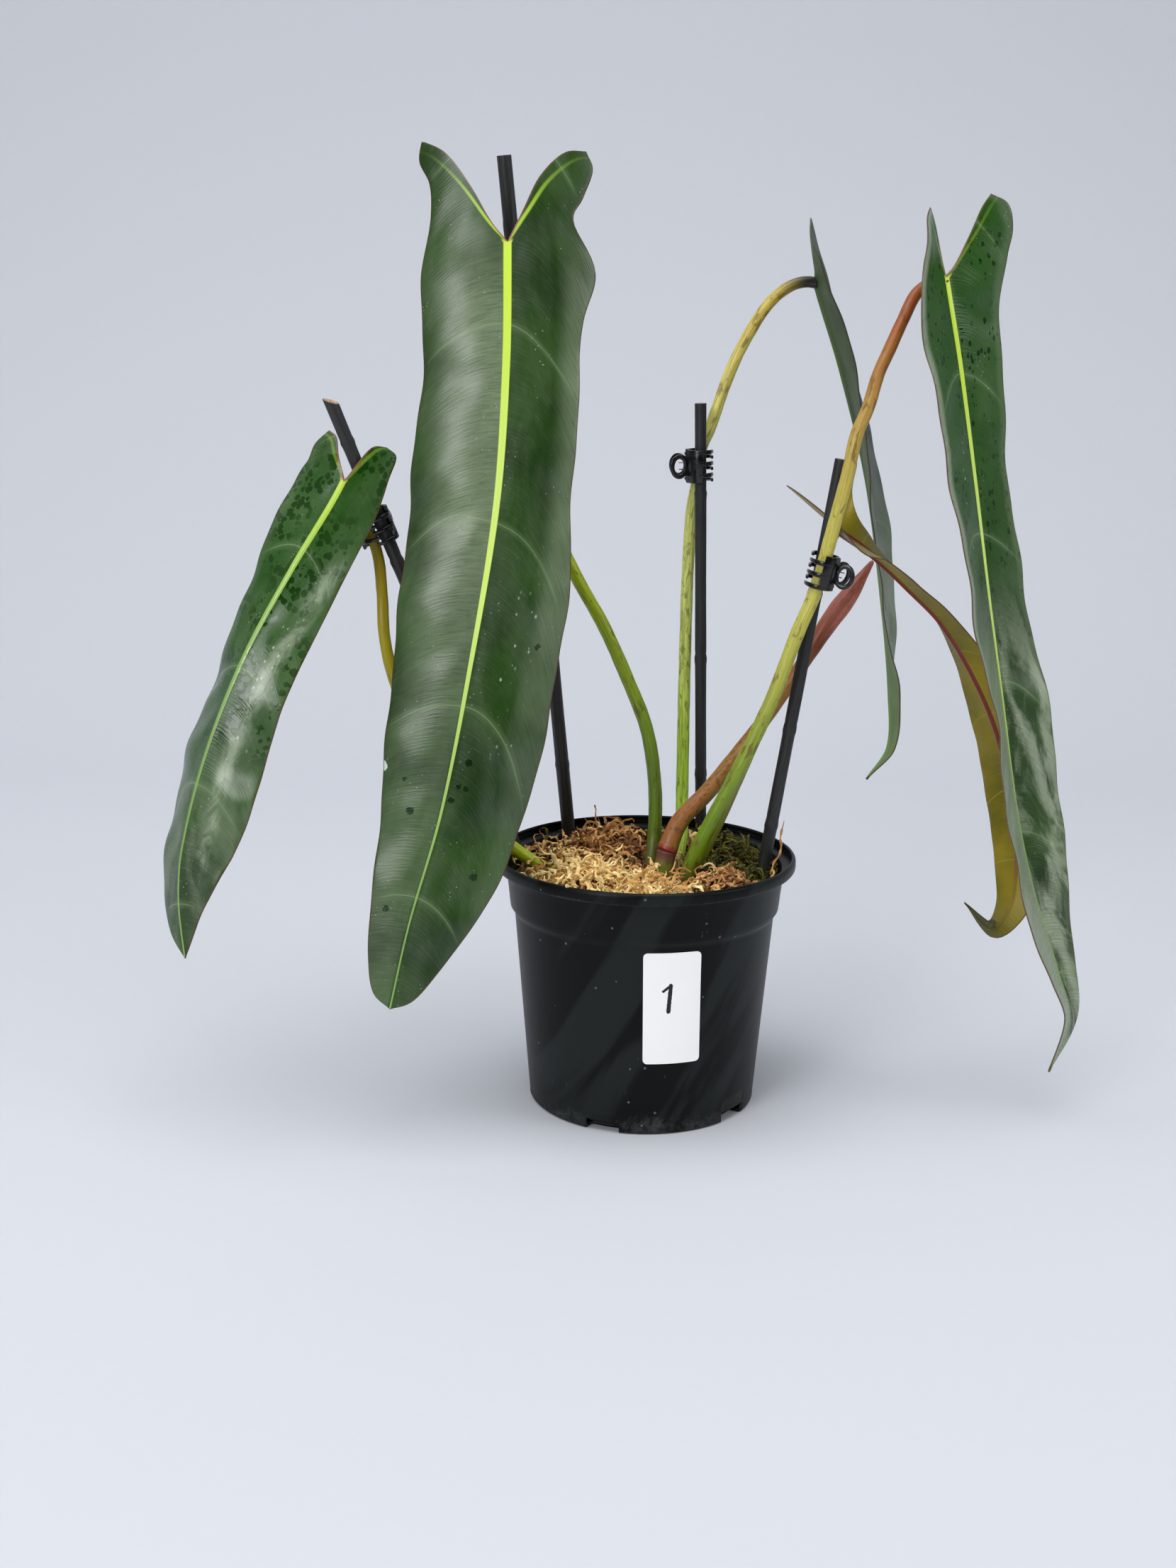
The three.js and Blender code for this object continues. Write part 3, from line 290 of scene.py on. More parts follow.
# Kinds of strand: where each grows as (x, y, spread, weight), the range of its lengths and widths, how high
# it lies, how curly it is, and its share of standing loops
MOSS_KINDS = {
    "pale": {
        "spots": [(-30, -36, 12, 3), (-8, -44, 11, 2.6), (-44, -12, 9, 1.3), (-20, -20, 12, 1.8),
                  (12, -50, 8, 0.9), (-46, -26, 8, 1.0), (22, 24, 5, 0.3), (-28, 34, 9, 0.3),
                  (2, -20, 8, 0.5)],
        "length": (12, 30), "width": (1.1, 1.9), "lift": 3.2, "curl": 1.5, "loops": 0.08,
    },
    "brown": {
        "spots": [(-14, 12, 10, 3), (-30, 6, 8, 1.2), (26, -38, 9, 1.2), (40, -28, 7, 0.7), (-4, 38, 11, 0.8),
                  (-44, 26, 8, 0.5), (8, -30, 8, 0.6)],
        "length": (12, 30), "width": (1.1, 1.9), "lift": 3.2, "curl": 1.7, "loops": 0.25,
    },
    "green": {
        "spots": [(40, 14, 10, 3), (34, -12, 9, 1.8), (28, 34, 9, 1.2), (48, -6, 6, 0.8), (-34, 28, 8, 0.3),
                  (10, 48, 8, 0.4), (24, -20, 8, 0.8)],
        "length": (10, 22), "width": (1.0, 1.7), "lift": 2.6, "curl": 1.8, "loops": 0.12,
    },
}
# Centres along each strand
STATIONS = 19

# Single strands that stand up from the moss: kind, width and route
SINGLES = {
    "twig": ("brown", 1.5, [
        (53.5, -10, 103), (55, -8, 107), (57.5, -6, 111), (58.5, -5, 114.5), (57.6, -5, 117.5),
        (58.6, -4, 121), (59.2, -3, 125.5)]),
    "sprig": ("green", 1.6, [
        (-47.5, 8, 104), (-46, 8, 108), (-44, 8, 111.5), (-42.6, 8, 115), (-43.5, 8, 118),
        (-45.5, 8, 117.4)]),
    "curl_one": ("brown", 1.6, [
        (-22, 14, 110), (-25, 13, 113), (-26.5, 12, 117), (-24, 12, 120), (-21, 13, 118.6),
        (-20.6, 14, 115)]),
    "curl_two": ("brown", 1.6, [
        (-17, 12, 111), (-18, 11, 115), (-15.5, 11, 119), (-12, 12, 120.6), (-9.5, 12, 118),
        (-8.6, 12, 114)]),
    "gold_one": ("pale", 2.4, [
        (-34, -30, 104), (-36, -28, 109), (-38.5, -26, 114), (-41, -24, 117)]),
    "gold_two": ("pale", 1.9, [
        (-31, -30, 104), (-32, -27, 109), (-30, -25, 112.5), (-27.5, -24, 113.6)]),
    "over_lip": ("pale", 1.6, [
        (-31, -47, 106), (-32, -52, 108.6), (-33, -57, 111), (-33.6, -60, 111.2)]),
    "white_strand": ("pale", 2.2, [
        (16, 24, 103), (18.5, 23, 107), (21, 22, 111), (23, 21, 112.4), (24, 20, 110)]),
    "hair_one": ("brown", 0.35, [
        (-20, 30, 106), (-23, 28, 113), (-27, 27, 118.4)]),
    "hair_two": ("brown", 0.35, [
        (-18, 30, 106), (-19, 28, 113), (-20.5, 27, 118.8)]),
}

# The photograph's camera: its place, how far it looks down and leans, and its view
CAMERA = {"place": (-25, -750, 317), "pitch": 13.3, "roll": 0.6, "focal_pixels": 2533, "frame_height": 2212,
          "sensor": 36}


def paint(red, green, blue):
    """A screen colour from 0 to 255 as the linear colour that the shader takes, by the sRGB curve."""
    share = np.array([red, green, blue]) / 255
    linear = np.where(share <= 0.04045, share / 12.92, ((share + 0.055) / 1.055) ** 2.4)
    return (*linear.tolist(), 1.0)


def unit(vectors):
    """Vectors divided by their lengths."""
    return vectors / np.maximum(np.linalg.norm(vectors, axis=-1, keepdims=True), 1e-12)


def smoothstep(low, high, value):
    """0 below low, 1 above high, and 3t^2 - 2t^3 between them."""
    t = np.clip((value - low) / (high - low), 0, 1)
    return t * t * (3 - 2 * t)


def cubic(t, start, end, start_slope, end_slope):
    """The cubic that goes from start to end with the given slopes as t goes from 0 to 1."""
    t2, t3 = t * t, t * t * t
    return ((2 * t3 - 3 * t2 + 1) * start + (t3 - 2 * t2 + t) * start_slope
            + (3 * t2 - 2 * t3) * end + (t3 - t2) * end_slope)


def distances(points):
    """The distance along a line of points at each of them."""
    return np.concatenate([[0], np.cumsum(np.linalg.norm(np.diff(points, axis=0), axis=1))])


def track(stations, values, where):
    """A smooth line through values at uneven stations: cubic pieces whose slopes are central differences."""
    stations, values, where = (np.asarray(v, float) for v in (stations, values, where))
    order = np.arange(len(stations))
    before, after = np.maximum(order - 1, 0), np.minimum(order + 1, len(stations) - 1)
    run = stations[after] - stations[before]
    k = np.searchsorted(stations[1:-1], where)
    step = stations[k + 1] - stations[k]
    t = (where - stations[k]) / step
    if values.ndim == 2:
        run, step, t = run[:, None], step[..., None], t[..., None]
    slopes = (values[after] - values[before]) / run
    return cubic(t, values[k], values[k + 1], step * slopes[k], step * slopes[k + 1])


def smooth_route(points, steps):
    """A centripetal Catmull-Rom curve through the points: on each span a cubic whose end slopes weigh the
    neighbouring spans by the square roots of their lengths. It is cut into even steps by its length."""
    points = np.asarray(points, float)
    before = np.vstack([2 * points[0] - points[1], points[:-2]])
    after = np.vstack([points[2:], 2 * points[-1] - points[-2]])
    start, end = points[:-1], points[1:]
    d0, d1, d2 = (np.sqrt(np.linalg.norm(b - a, axis=1))[:, None]
                  for a, b in ((before, start), (start, end), (end, after)))
    slope0 = ((start - before) / d0 - (end - before) / (d0 + d1) + (end - start) / d1) * d1
    slope1 = ((end - start) / d1 - (after - start) / (d1 + d2) + (after - end) / d2) * d1
    t = np.linspace(0, 1, 41)[:-1][None, :, None]
    spans = cubic(t, *(ends[:, None] for ends in (start, end, slope0, slope1)))
    fine = np.vstack([spans.reshape(-1, 3), points[-1]])
    reach = distances(fine)
    even = np.linspace(0, reach[-1], steps)
    return np.stack([np.interp(even, reach, fine[:, k]) for k in range(3)], 1), even


class Shell:
    """Gathers the closed surfaces of a piece: corners in millimetres, faces, and numbers for each corner."""

    def __init__(self):
        self.corners, self.quads, self.triangles, self.marks, self.count = [], [], [], {}, 0

    def add(self, corners, quads, triangles=(), **marks):
        corners = np.asarray(corners, float).reshape(-1, 3)
        self.corners.append(corners)
        self.quads.append(np.asarray(quads, int).reshape(-1, 4) + self.count)
        self.triangles.append(np.asarray(triangles, int).reshape(-1, 3) + self.count)
        for name, value in marks.items():
            self.marks.setdefault(name, []).append(np.asarray(value, float).reshape(len(corners), -1))
        self.count += len(corners)

    def tube(self, rings, **marks):
        """Rings of corners joined in turn, closed at both ends on the middle of the end ring. A mark has one
        value in all, one for each ring, or three for each corner."""
        count, sides = rings.shape[:2]
        ring = np.arange(sides)
        around = (ring + 1) % sides
        first = count * sides
        low = np.stack([np.full(sides, first), around, ring], 1)
        high = np.stack([np.full(sides, first + 1), ring + first - sides, around + first - sides], 1)
        for name, value in marks.items():
            value = np.asarray(value, float)
            if value.ndim < 3:
                value = np.broadcast_to(value.reshape(-1, 1, 1), (count, sides, 1))
            marks[name] = np.vstack([value.reshape(first, -1), value[0].mean(0), value[-1].mean(0)])
        corners = np.vstack([rings.reshape(-1, 3), rings[0].mean(0), rings[-1].mean(0)])
        self.add(corners, wrapped_quads(count, sides), np.vstack([low, high]), **marks)

    def piece(self, name, material, smooth_angle=40):
        """Puts everything into one mesh object, in metres, at the origin."""
        corners = np.vstack(self.corners) * MM
        quads = np.vstack(self.quads).astype(np.int32)
        triangles = np.vstack(self.triangles).astype(np.int32)
        loops = np.concatenate([quads.ravel(), triangles.ravel()])
        starts = np.concatenate([np.arange(len(quads)) * 4, len(quads) * 4 + np.arange(len(triangles)) * 3])
        mesh = bpy.data.meshes.new(name)
        mesh.vertices.add(len(corners))
        mesh.vertices.foreach_set("co", corners.astype(np.float32).ravel())
        mesh.loops.add(len(loops))
        mesh.loops.foreach_set("vertex_index", loops)
        mesh.polygons.add(len(starts))
        mesh.polygons.foreach_set("loop_start", starts.astype(np.int32))
        for mark, parts in self.marks.items():
            values = np.concatenate(parts)
            kind, field = ("FLOAT_VECTOR", "vector") if values.shape[1] == 3 else ("FLOAT", "value")
            layer = mesh.attributes.new(mark, kind, "POINT")
            layer.data.foreach_set(field, values.astype(np.float32).ravel())
        mesh.update(calc_edges=True)
        if mesh.validate():
            raise RuntimeError(f"{name}: its mesh had faces that are no faces")
        mesh.polygons.foreach_set("use_smooth", np.ones(len(starts), bool))
        mesh.set_sharp_from_angle(angle=math.radians(smooth_angle))
        mesh.materials.append(material)
        made = bpy.data.objects.new(name, mesh)
        bpy.context.scene.collection.objects.link(made)
        return made


def place_piece(made, nodes, body=PLANT_BODY):
    """Lets a piece ride on its body and stand for its nodes, whose parts it hides."""
    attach(made, body)
    if nodes:
        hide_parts(*nodes)


def wrapped_quads(rows, sides):
    """Faces between neighbouring rows of corners, each of which goes once round."""
    i, j = np.meshgrid(np.arange(rows - 1), np.arange(sides), indexing="ij")
    k = (j + 1) % sides
    return np.stack([i * sides + j, i * sides + k, (i + 1) * sides + k, (i + 1) * sides + j], -1)


def sheet_quads(number):
    """Faces between the numbered corners of a sheet."""
    return np.stack([number[:-1, :-1], number[:-1, 1:], number[1:, 1:], number[1:, :-1]], -1).reshape(-1, 4)


def only_used(corners, *number_lists):
    """The corners that the numbers use, and the numbers counted anew."""
    used = np.unique(np.concatenate([numbers.ravel() for numbers in number_lists]))
    renumber = np.zeros(len(corners), int)
    renumber[used] = np.arange(len(used))
    return corners[used], *(renumber[numbers] for numbers in number_lists)


def frames_along(centres, reference=None):
    """Two directions across a route at each centre. The first lies square to a reference, which is by default
    the normal of the plane that fits the route best."""
    tangents = unit(np.gradient(centres, axis=-2))
    if reference is None:
        reference = np.linalg.eigh(tangents.T @ tangents)[1][:, 0]
    across = unit(np.cross(tangents, reference))
    return across, np.cross(tangents, across)


def sweep(centres, section, reference=None):
    """A section carried along a route: centre + across times its x + up times its y, at each place."""
    across, up = frames_along(centres, reference)
    section = np.broadcast_to(section, (len(centres), *section.shape[-2:]))
    return centres[:, None] + across[:, None] * section[..., :1] + up[:, None] * section[..., 1:]


def skin_of(section, along):
    """The mark skin: (x across, y across, distance along), so that a pattern follows a limb with no seam."""
    section = np.broadcast_to(section, (len(along), *section.shape[-2:]))
    return np.concatenate([section, np.broadcast_to(along[:, None, None], (*section.shape[:2], 1))], -1)


def round_ring(sides):
    """Points round a unit circle."""
    angles = np.linspace(0, 2 * math.pi, sides, endpoint=False)
    return np.stack([np.cos(angles), np.sin(angles)], 1)


def box_ring(half_width, half_height, rounding, steps=3):
    """A rectangle with round corners: quarter circles of the rounding about each corner's own centre. The
    sizes may be arrays, one value for each place along a route."""
    angles = np.radians((np.arange(4)[:, None] * 90 + np.linspace(0, 90, steps)).ravel())
    sign_x, sign_y = np.repeat([[1, -1, -1, 1], [1, 1, -1, -1]], steps, axis=1)
    half_width, half_height, rounding = (np.asarray(size, float)[..., None]
                                         for size in (half_width, half_height, rounding))
    x = sign_x * (half_width - rounding) + rounding * np.cos(angles)
    y = sign_y * (half_height - rounding) + rounding * np.sin(angles)
    return np.stack([x, y], -1)


def with_domes(centres, radii, shares):
    """Adds three rings at each end that shrink on a quarter circle, so the end of a limb is round. Shares
    say how far each dome stands out, in radii."""
    angles = np.radians([78, 52, 26])
    start = unit(centres[0] - centres[1]) * radii[0] * shares[0]
    end = unit(centres[-1] - centres[-2]) * radii[-1] * shares[1]
    before = centres[0] + np.sin(angles)[:, None] * start
    after = centres[-1] + np.sin(angles[::-1])[:, None] * end
    grown = np.concatenate([radii[0] * np.cos(angles), radii, radii[-1] * np.cos(angles[::-1])])
    return np.vstack([before, centres, after]), grown


def limb_piece(name, limb, material, node, sides, step, swell, shares, flat=1.0):
    """A round limb along its route. Its radius follows a smooth line through the given radii, times a
    slight swelling along its length."""
    centres, reach = smooth_route(limb["route"], max(8, int(distances(limb["route"])[-1] / step)))
    radius = track(np.linspace(0, 1, len(limb["radii"])), limb["radii"], reach / reach[-1]) * swell(reach)
    centres, radius = with_domes(centres, radius, shares)
    section = (round_ring(sides) * (1, flat))[None] * radius[:, None, None]
    along = np.concatenate([[0] * 3, reach, [reach[-1]] * 3])
    shell = Shell()
    shell.tube(sweep(centres, section), skin=skin_of(section, along), share=along / reach[-1])
    place_piece(shell.piece(name, material), [node])


class Value:
    """The output of a node. Plain arithmetic on it adds Math nodes to its tree."""

    def __init__(self, wiring, socket):
        self.wiring, self.socket = wiring, socket

    def __abs__(self):
        return self.wiring.math("ABSOLUTE", self)


# Each operator of Value, and the same with the number in front
for sign, operation in (("add", "ADD"), ("sub", "SUBTRACT"), ("mul", "MULTIPLY"), ("truediv", "DIVIDE")):
    setattr(Value, f"__{sign}__", lambda a, b, o=operation: a.wiring.math(o, a, b))
    setattr(Value, f"__r{sign}__", lambda a, b, o=operation: a.wiring.math(o, b, a))


class Outputs:
    """The outputs of a node, as values by name or number."""

    def __init__(self, wiring, sockets):
        self.wiring, self.sockets = wiring, sockets

    def __getitem__(self, key):
        return Value(self.wiring, self.sockets[key])


class Wiring:
    """Adds nodes to one tree. What a node takes is a number, a vector, a colour or a Value."""

    def __init__(self, tree):
        self.tree = tree

    def put(self, value, socket):
        if isinstance(value, Value):
            self.tree.links.new(value.socket, socket)
        else:
            socket.default_value = value

    def node(self, kind, inputs=None, **settings):
        made = self.tree.nodes.new("ShaderNode" + kind)
        for name, value in settings.items():
            setattr(made, name, value)
        for name, value in (inputs or {}).items():
            self.put(value, made.inputs[name])
        return Outputs(self, made.outputs)

    def math(self, operation, *values, clamp=False):
        return self.node("Math", dict(enumerate(values)), operation=operation, use_clamp=clamp)[0]

    def most(self, value, *others):
        for other in others:
            value = self.math("MAXIMUM", value, other)
        return value

    def vector(self, operation, *values):
        output = "Value" if operation in ("DOT_PRODUCT", "LENGTH") else "Vector"
        return self.node("VectorMath", dict(enumerate(values)), operation=operation)[output]

    def step(self, value, low, high, bottom=0.0, top=1.0):
        """The smooth step from bottom to top as value goes from low to high."""
        return self.node("MapRange", {"Value": value, "From Min": low, "From Max": high, "To Min": bottom,
                                      "To Max": top}, interpolation_type="SMOOTHSTEP")["Result"]

    def fall(self, value, low, high, top=1.0):
        """The smooth step down to 0 as value goes from low to high."""
        return self.step(value, low, high, top, 0.0)

    def within(self, value, low, high, rise, drop):
        """Mask from low to high that comes in over the rise and goes out over the drop."""
        return self.step(value, low, low + rise) * self.fall(value, high - drop, high)

    def mix(self, share, first, second):
        return self.node("Mix", {0: share, 6: first, 7: second}, data_type="RGBA")[2]

    def layers(self, colour, *layers):
        """Colours laid over one another, each as (share, colour)."""
        for share, over in layers:
            colour = self.mix(share, colour, over)
        return colour

    def noise(self, vector, scale, detail=3.0, roughness=0.5, distortion=0.0):
        return self.node("TexNoise", {"Vector": vector, "Scale": scale, "Detail": detail,
                                      "Roughness": roughness, "Distortion": distortion})["Fac"]

    def cells(self, vector, scale=1.0, channel=0):
        """Round cells: the distance from the middle of each, and its chance, from a channel of its colour."""
        made = self.node("TexVoronoi", {"Vector": vector, "Scale": scale})
        return made["Distance"], self.node("SeparateColor", {0: made["Color"]})[channel]

    def join(self, x, y, z=0.0):
        return self.node("CombineXYZ", {0: x, 1: y, 2: z})[0]

    def part(self, vector, axis):
        return self.node("SeparateXYZ", {0: vector})[axis]

    def group(self, give_tree, *values):
        return self.node("Group", dict(enumerate(values)), node_tree=give_tree())

    def mark(self, name, output="Fac"):
        return self.node("Attribute", attribute_name=name)[output]

    def object_place(self):
        """The place on the object in millimetres."""
        place = self.node("TexCoord")["Object"]
        return self.node("VectorMath", {0: place, "Scale": 1 / MM}, operation="SCALE")[0]


class Surface(Wiring):
    """The wiring of a new material with its Principled shader."""

    def __init__(self, name):
        self.material = bpy.data.materials.new(name)
        self.material.use_nodes = True
        super().__init__(self.material.node_tree)

    def finish(self, colour, roughness, height=None, strength=0.0, distance=0.0, **constants):
        """Feeds the shader and gives the material. The distance of the bump is in millimetres."""
        inputs = self.tree.nodes["Principled BSDF"].inputs
        self.put(colour, inputs["Base Color"])
        self.put(roughness, inputs["Roughness"])
        if height is not None:
            relief = self.node("Bump", {"Height": height, "Strength": strength, "Distance": distance * MM})
            self.put(relief["Normal"], inputs["Normal"])
        for name, value in constants.items():
            inputs[name.replace("_", " ")].default_value = value
        return self.material


def shader_group(name, **inputs):
    """Turns a function that wires values into one that gives a shader node group, built at its first use. The
    inputs have their usual values here; the function gets them in this order and returns outputs by name."""

    def wrap(wire):
        def give_tree():
            if name in bpy.data.node_groups:
                return bpy.data.node_groups[name]
            tree = bpy.data.node_groups.new(name, "ShaderNodeTree")
            for label, value in inputs.items():
                kind = "NodeSocketVector" if isinstance(value, tuple) else "NodeSocketFloat"
                made = tree.interface.new_socket(label.replace("_", " "), in_out="INPUT", socket_type=kind)
                made.default_value = value
            w = Wiring(tree)
            entry = Outputs(w, tree.nodes.new("NodeGroupInput").outputs)
            results = wire(w, *(entry[k] for k in range(len(inputs))))
            for label in results:
                tree.interface.new_socket(label, in_out="OUTPUT", socket_type="NodeSocketFloat")
            leave = tree.nodes.new("NodeGroupOutput")
            for label, value in results.items():
                w.put(value, leave.inputs[label])
            return tree

        return give_tree

    return wrap


ORIGIN = (0.0, 0.0, 0.0)


@shader_group("leaf fine ribs", Along=0.0, Away=0.0, Bend=0.012, Pitch=1.5)
def fine_ribs(w, along, away, bend, pitch):
    """Hair-fine ribs across a leaf: a sine of (along - bend x away squared) whose phase and height noise
    shakes, so no two ribs are alike."""
    place = along - away * away * bend
    side = away * 0.06
    phase = w.noise(w.join(place * 0.35, side), 1.0, 3.0, 0.6) * 3.2 + place / pitch
    wave = w.math("SINE", phase * (2 * math.pi)) * 0.5 + 0.5
    strength = w.noise(w.join(place * 0.8, side * 2.0, 4.0), 1.0, 2.0)
    return {"Height": wave * w.step(strength, 0.25, 0.7, 0.25, 1.0), "Vein place": place}


@shader_group("leaf side veins", Vein_place=0.0, Away=0.0, Spacing=33.0, Width=0.5, Shift=0.0)
def side_veins(w, vein_place, away, spacing, width, shift):
    """Side veins of a leaf: thin lines a spacing apart in the vein place, which noise bends a little."""
    wobble = w.noise(w.join(vein_place * 0.03, away * 0.02), 1.0, 1.0)
    near = w.math("PINGPONG", wobble * 22.0 + vein_place + shift, spacing * 0.5)
    return {"Line": w.fall(near, 0.0, width), "Glow": w.fall(near, 0.0, width * 7.0)}


@shader_group("leaf midrib", Along=0.0, Core=0.0, Length=300.0, Half_width=1.8)
def midrib(w, along, core, length, half_width):
    """The midrib: full within a half width that tapers from the sinus to the tip, and a thinner vein that
    leaves the sinus along each lobe, a little in from its edge."""
    half = half_width * w.step(along / length, 0.0, 1.0, 1.0, 0.2)
    rib = w.fall(core, half * 0.82, half * 1.12) * w.step(along, -1.5, 0.6)
    line = w.fall(abs(core - along * -0.16), 0.3, 1.2) * w.step(along, -40.0, -6.0)
    return {"Rib": rib, "Lobe vein": line * w.fall(along, -1.0, 1.5)}


@shader_group("leaf wet marks", Along=0.0, Away=0.0, Drop_size=3.0, Stretch=1.6, Share=0.4, From=0.0,
              To=100.0)
def wet_marks(w, along, away, size, stretch, share, start, end):
    """Drops and the dried film between them, in leaf places: round cells of random size where noise lets them
    be, a cloudy film that the drops wash away and that is partly painted grey sheen, and bright specks in it."""
    place = w.join(away / size, along / (size * stretch))
    shake = w.node("TexNoise", {"Vector": place, "Scale": 1.3})["Color"]
    gap, chance = w.cells(w.vector("MULTIPLY_ADD", shake, (0.5, 0.5, 0.5), place))
    drop = w.fall(gap - (chance - (1.0 - share)) * 0.9, -0.05, 0.05)
    patch = w.step(w.noise(w.join(away * 0.05, along * 0.03), 1.0, 2.0), 0.38, 0.55)
    drops = drop * (w.within(along, start, end, 15.0, 25.0) * patch)
    cloud = w.noise(w.join(away * 0.11, along * 0.035, 7.0), 1.0, 5.0, 0.6)
    gap, chance = w.cells(w.join(away * 0.8, along * 0.7, 3.0), channel=1)
    bright = w.fall(gap, 0.10, 0.22) * w.step(chance, 0.72, 0.78)
    return {"Drops": drops, "Film": w.step(cloud, 0.36, 0.66) * (1.0 - drops),
            "Specks": bright * w.step(cloud, 0.5, 0.62)}


@shader_group("leaf spot", Along=0.0, Away=0.0, At=ORIGIN, Radius=1.0)
def leaf_spot(w, along, away, at, radius):
    """One round wet spot of a leaf, with a ragged edge."""
    place = w.join(away, along)
    gap = w.vector("LENGTH", w.vector("SUBTRACT", place, at))
    return {"Spot": w.fall(w.noise(place, 0.8, 2.0) * 2.2 + (gap - 1.1) - radius, -0.15, 0.15)}


@shader_group("stalk blotches", Skin=ORIGIN, Scale=0.35, Stretch=0.3, Share=0.4)
def blotches(w, skin, scale, stretch, share):
    """Blotches and streaks on a stalk, from noise on its skin that is stretched along it."""
    large = w.noise(w.vector("MULTIPLY", skin, w.join(1.0, 1.0, stretch)), scale, 4.0, 0.65, 0.4)
    edge = 0.75 - share * 0.4
    return {"Blotch": w.step(large, edge, edge + 0.09),
            "Fibre": w.noise(w.vector("MULTIPLY", skin, (1.6, 1.6, 0.06)), 1.0, 3.0, 0.6)}


@shader_group("dust and scuffs", Place=ORIGIN, Amount=0.3)
def dust_and_scuffs(w, place, amount):
    """Pale dust and scuffs: fine noise where a coarse noise and the given amount let it show."""
    both = w.noise(place, 0.07, 4.0, 0.65) * 0.5 + w.noise(place, 0.55, 5.0, 0.7) * 0.5
    edge = 0.86 - amount * 0.5
    streak = w.noise(w.vector("MULTIPLY", place, (0.5, 0.5, 0.16)), 0.5, 6.0, 0.75, 0.6)
    return {"Dust": w.step(both, edge - 0.16, edge + 0.1), "Scuff": w.step(streak, 0.66, 0.74),
            "Grain": w.noise(place, 2.6, 2.0)}


@shader_group("ink stroke", Place=ORIGIN, Start=ORIGIN, End=(0.0, 1.0, 0.0), Half_width=0.6)
def ink_stroke(w, place, start, end, half_width):
    """The inked line between two points of a sheet: full up to a half width from it, with a rough edge."""
    run, away = w.vector("SUBTRACT", end, start), w.vector("SUBTRACT", place, start)
    reach, length = (w.vector("DOT_PRODUCT", vector, run) for vector in (away, run))
    share = w.math("DIVIDE", reach, length, clamp=True)
    nearest = w.node("VectorMath", {0: run, "Scale": share}, operation="SCALE")[0]
    gap = w.vector("LENGTH", w.vector("SUBTRACT", away, nearest))
    rough = w.noise(place, 1.1, 3.0) * 0.5 + (gap - 0.25)
    return {"Ink": w.fall(rough, half_width - 0.08, half_width + 0.08)}


def pot_material(look):
    """Black moulded plastic with a painted slanted sheen, dust near its lip and foot, and grey scuffs and
    specks.
    """
    w = Surface("pot plastic")
    place = w.object_place()
    height = w.part(place, "Z")
    under_lip = w.step(height, 103.2, 104.6) * w.fall(height, 105.0, 107.0)
    step_line = w.step(height, 83.5, 85.0) * w.fall(height, 86.5, 87.6)
    worn = w.most(w.fall(height, 3.0, 15.0), w.most(under_lip, step_line * 0.6))
    dust = w.group(dust_and_scuffs, place, worn * 0.5 + look.dust * 0.5)
    slant = w.join(w.vector("DOT_PRODUCT", place, (0.056, 0.002, -0.03)),
                   w.vector("DOT_PRODUCT", place, (0.004, 0.0, 0.008)), 4.0)
    gap, chance = w.cells(place, 0.16)
    specks = w.fall(gap, 0.05, 0.11) * w.step(chance, 0.6, 0.66)
    colour = w.layers(
        look.plastic,
        # Painted reflection: broad slanting greyer bands
        (w.step(w.noise(slant, 1.0, 3.0, 0.5, 0.25), 0.44, 0.56), look.sheen),
        (dust["Dust"] * 0.22, look.dust_colour),
        (w.most(dust["Scuff"] * 0.8, specks * 0.6), look.dust_colour),
    )
    rough = w.math("MULTIPLY_ADD", dust["Grain"], 0.08, dust["Dust"] * 0.3 + look.roughness, clamp=True)
    return w.finish(colour, rough, dust["Grain"], 0.25, 0.06, Specular_IOR_Level=0.16)


def label_material(look):
    """White sticker paper with a handwritten 1 in black ink."""
    w = Surface("sticker paper")
    place = w.mark("sheet", "Vector")
    ink = 0.0
    for start, end, half_width in INK_STROKES:
        ink = w.most(ink, w.group(ink_stroke, place, start, end, half_width)["Ink"])
    fibre = w.noise(place, 2.2, 4.0, 0.6)
    colour = w.layers(look.paper, (fibre * 0.05, (0.62, 0.62, 0.64, 1)), (ink, look.ink))
    return w.finish(colour, w.step(fibre, 0.2, 0.8, 0.45, 0.6), fibre, 0.2, 0.05)


def strand_material(name, light, dark, shade):
    """Dried moss: each strand has its own tint between two colours, with flecks, and painted shade darkens it
    low down in the moss."""
    w = Surface(f"moss {name} strands")
    flecks = w.noise(w.object_place(), 0.7, 4.0, 0.7)
    own = w.mark("tint")
    tint = w.math("MULTIPLY_ADD", flecks, 1.3, own - 0.65, clamp=True)
    # Some strands are darker at random; painted shade darkens every strand low in the moss
    low = w.fall(w.mark("high"), 0.06, 0.6, 0.95)
    colour = w.layers(dark, (tint, light), (w.fall(own, 0.0, 0.35, 0.6), shade), (low, shade))
    return w.finish(colour, w.step(flecks, 0.2, 0.8, 0.6, 0.9), flecks, 0.5, 0.35, Specular_IOR_Level=0.35)


def bed_material(look):
    """The moss below the strands, with painted shade between its clumps and down its side."""
    w = Surface("moss bed")
    place = w.object_place()
    fibre = w.noise(w.vector("MULTIPLY", place, (1.0, 1.0, 0.4)), 0.8, 5.0, 0.7, 0.8)
    gaps = w.step(w.cells(place, 0.35)[0], 0.2, 0.8, 0.0, 0.6)
    colour = w.layers(
        look.deep,
        (w.step(fibre, 0.3, 0.7), look.tan),
        (w.step(w.part(place, "X"), 15.0, 32.0, 0.0, 0.85), look.green_deep),
        # Painted shade, near black, in the gaps between clumps and on the bed's side below the moss
        (w.most(gaps, w.fall(w.part(place, "Z"), 80.0, 96.0)), (0.008, 0.005, 0.003, 1)),
    )
    return w.finish(colour, w.step(fibre, 0.2, 0.8, 0.8, 0.98), fibre, 0.8, 1.0)


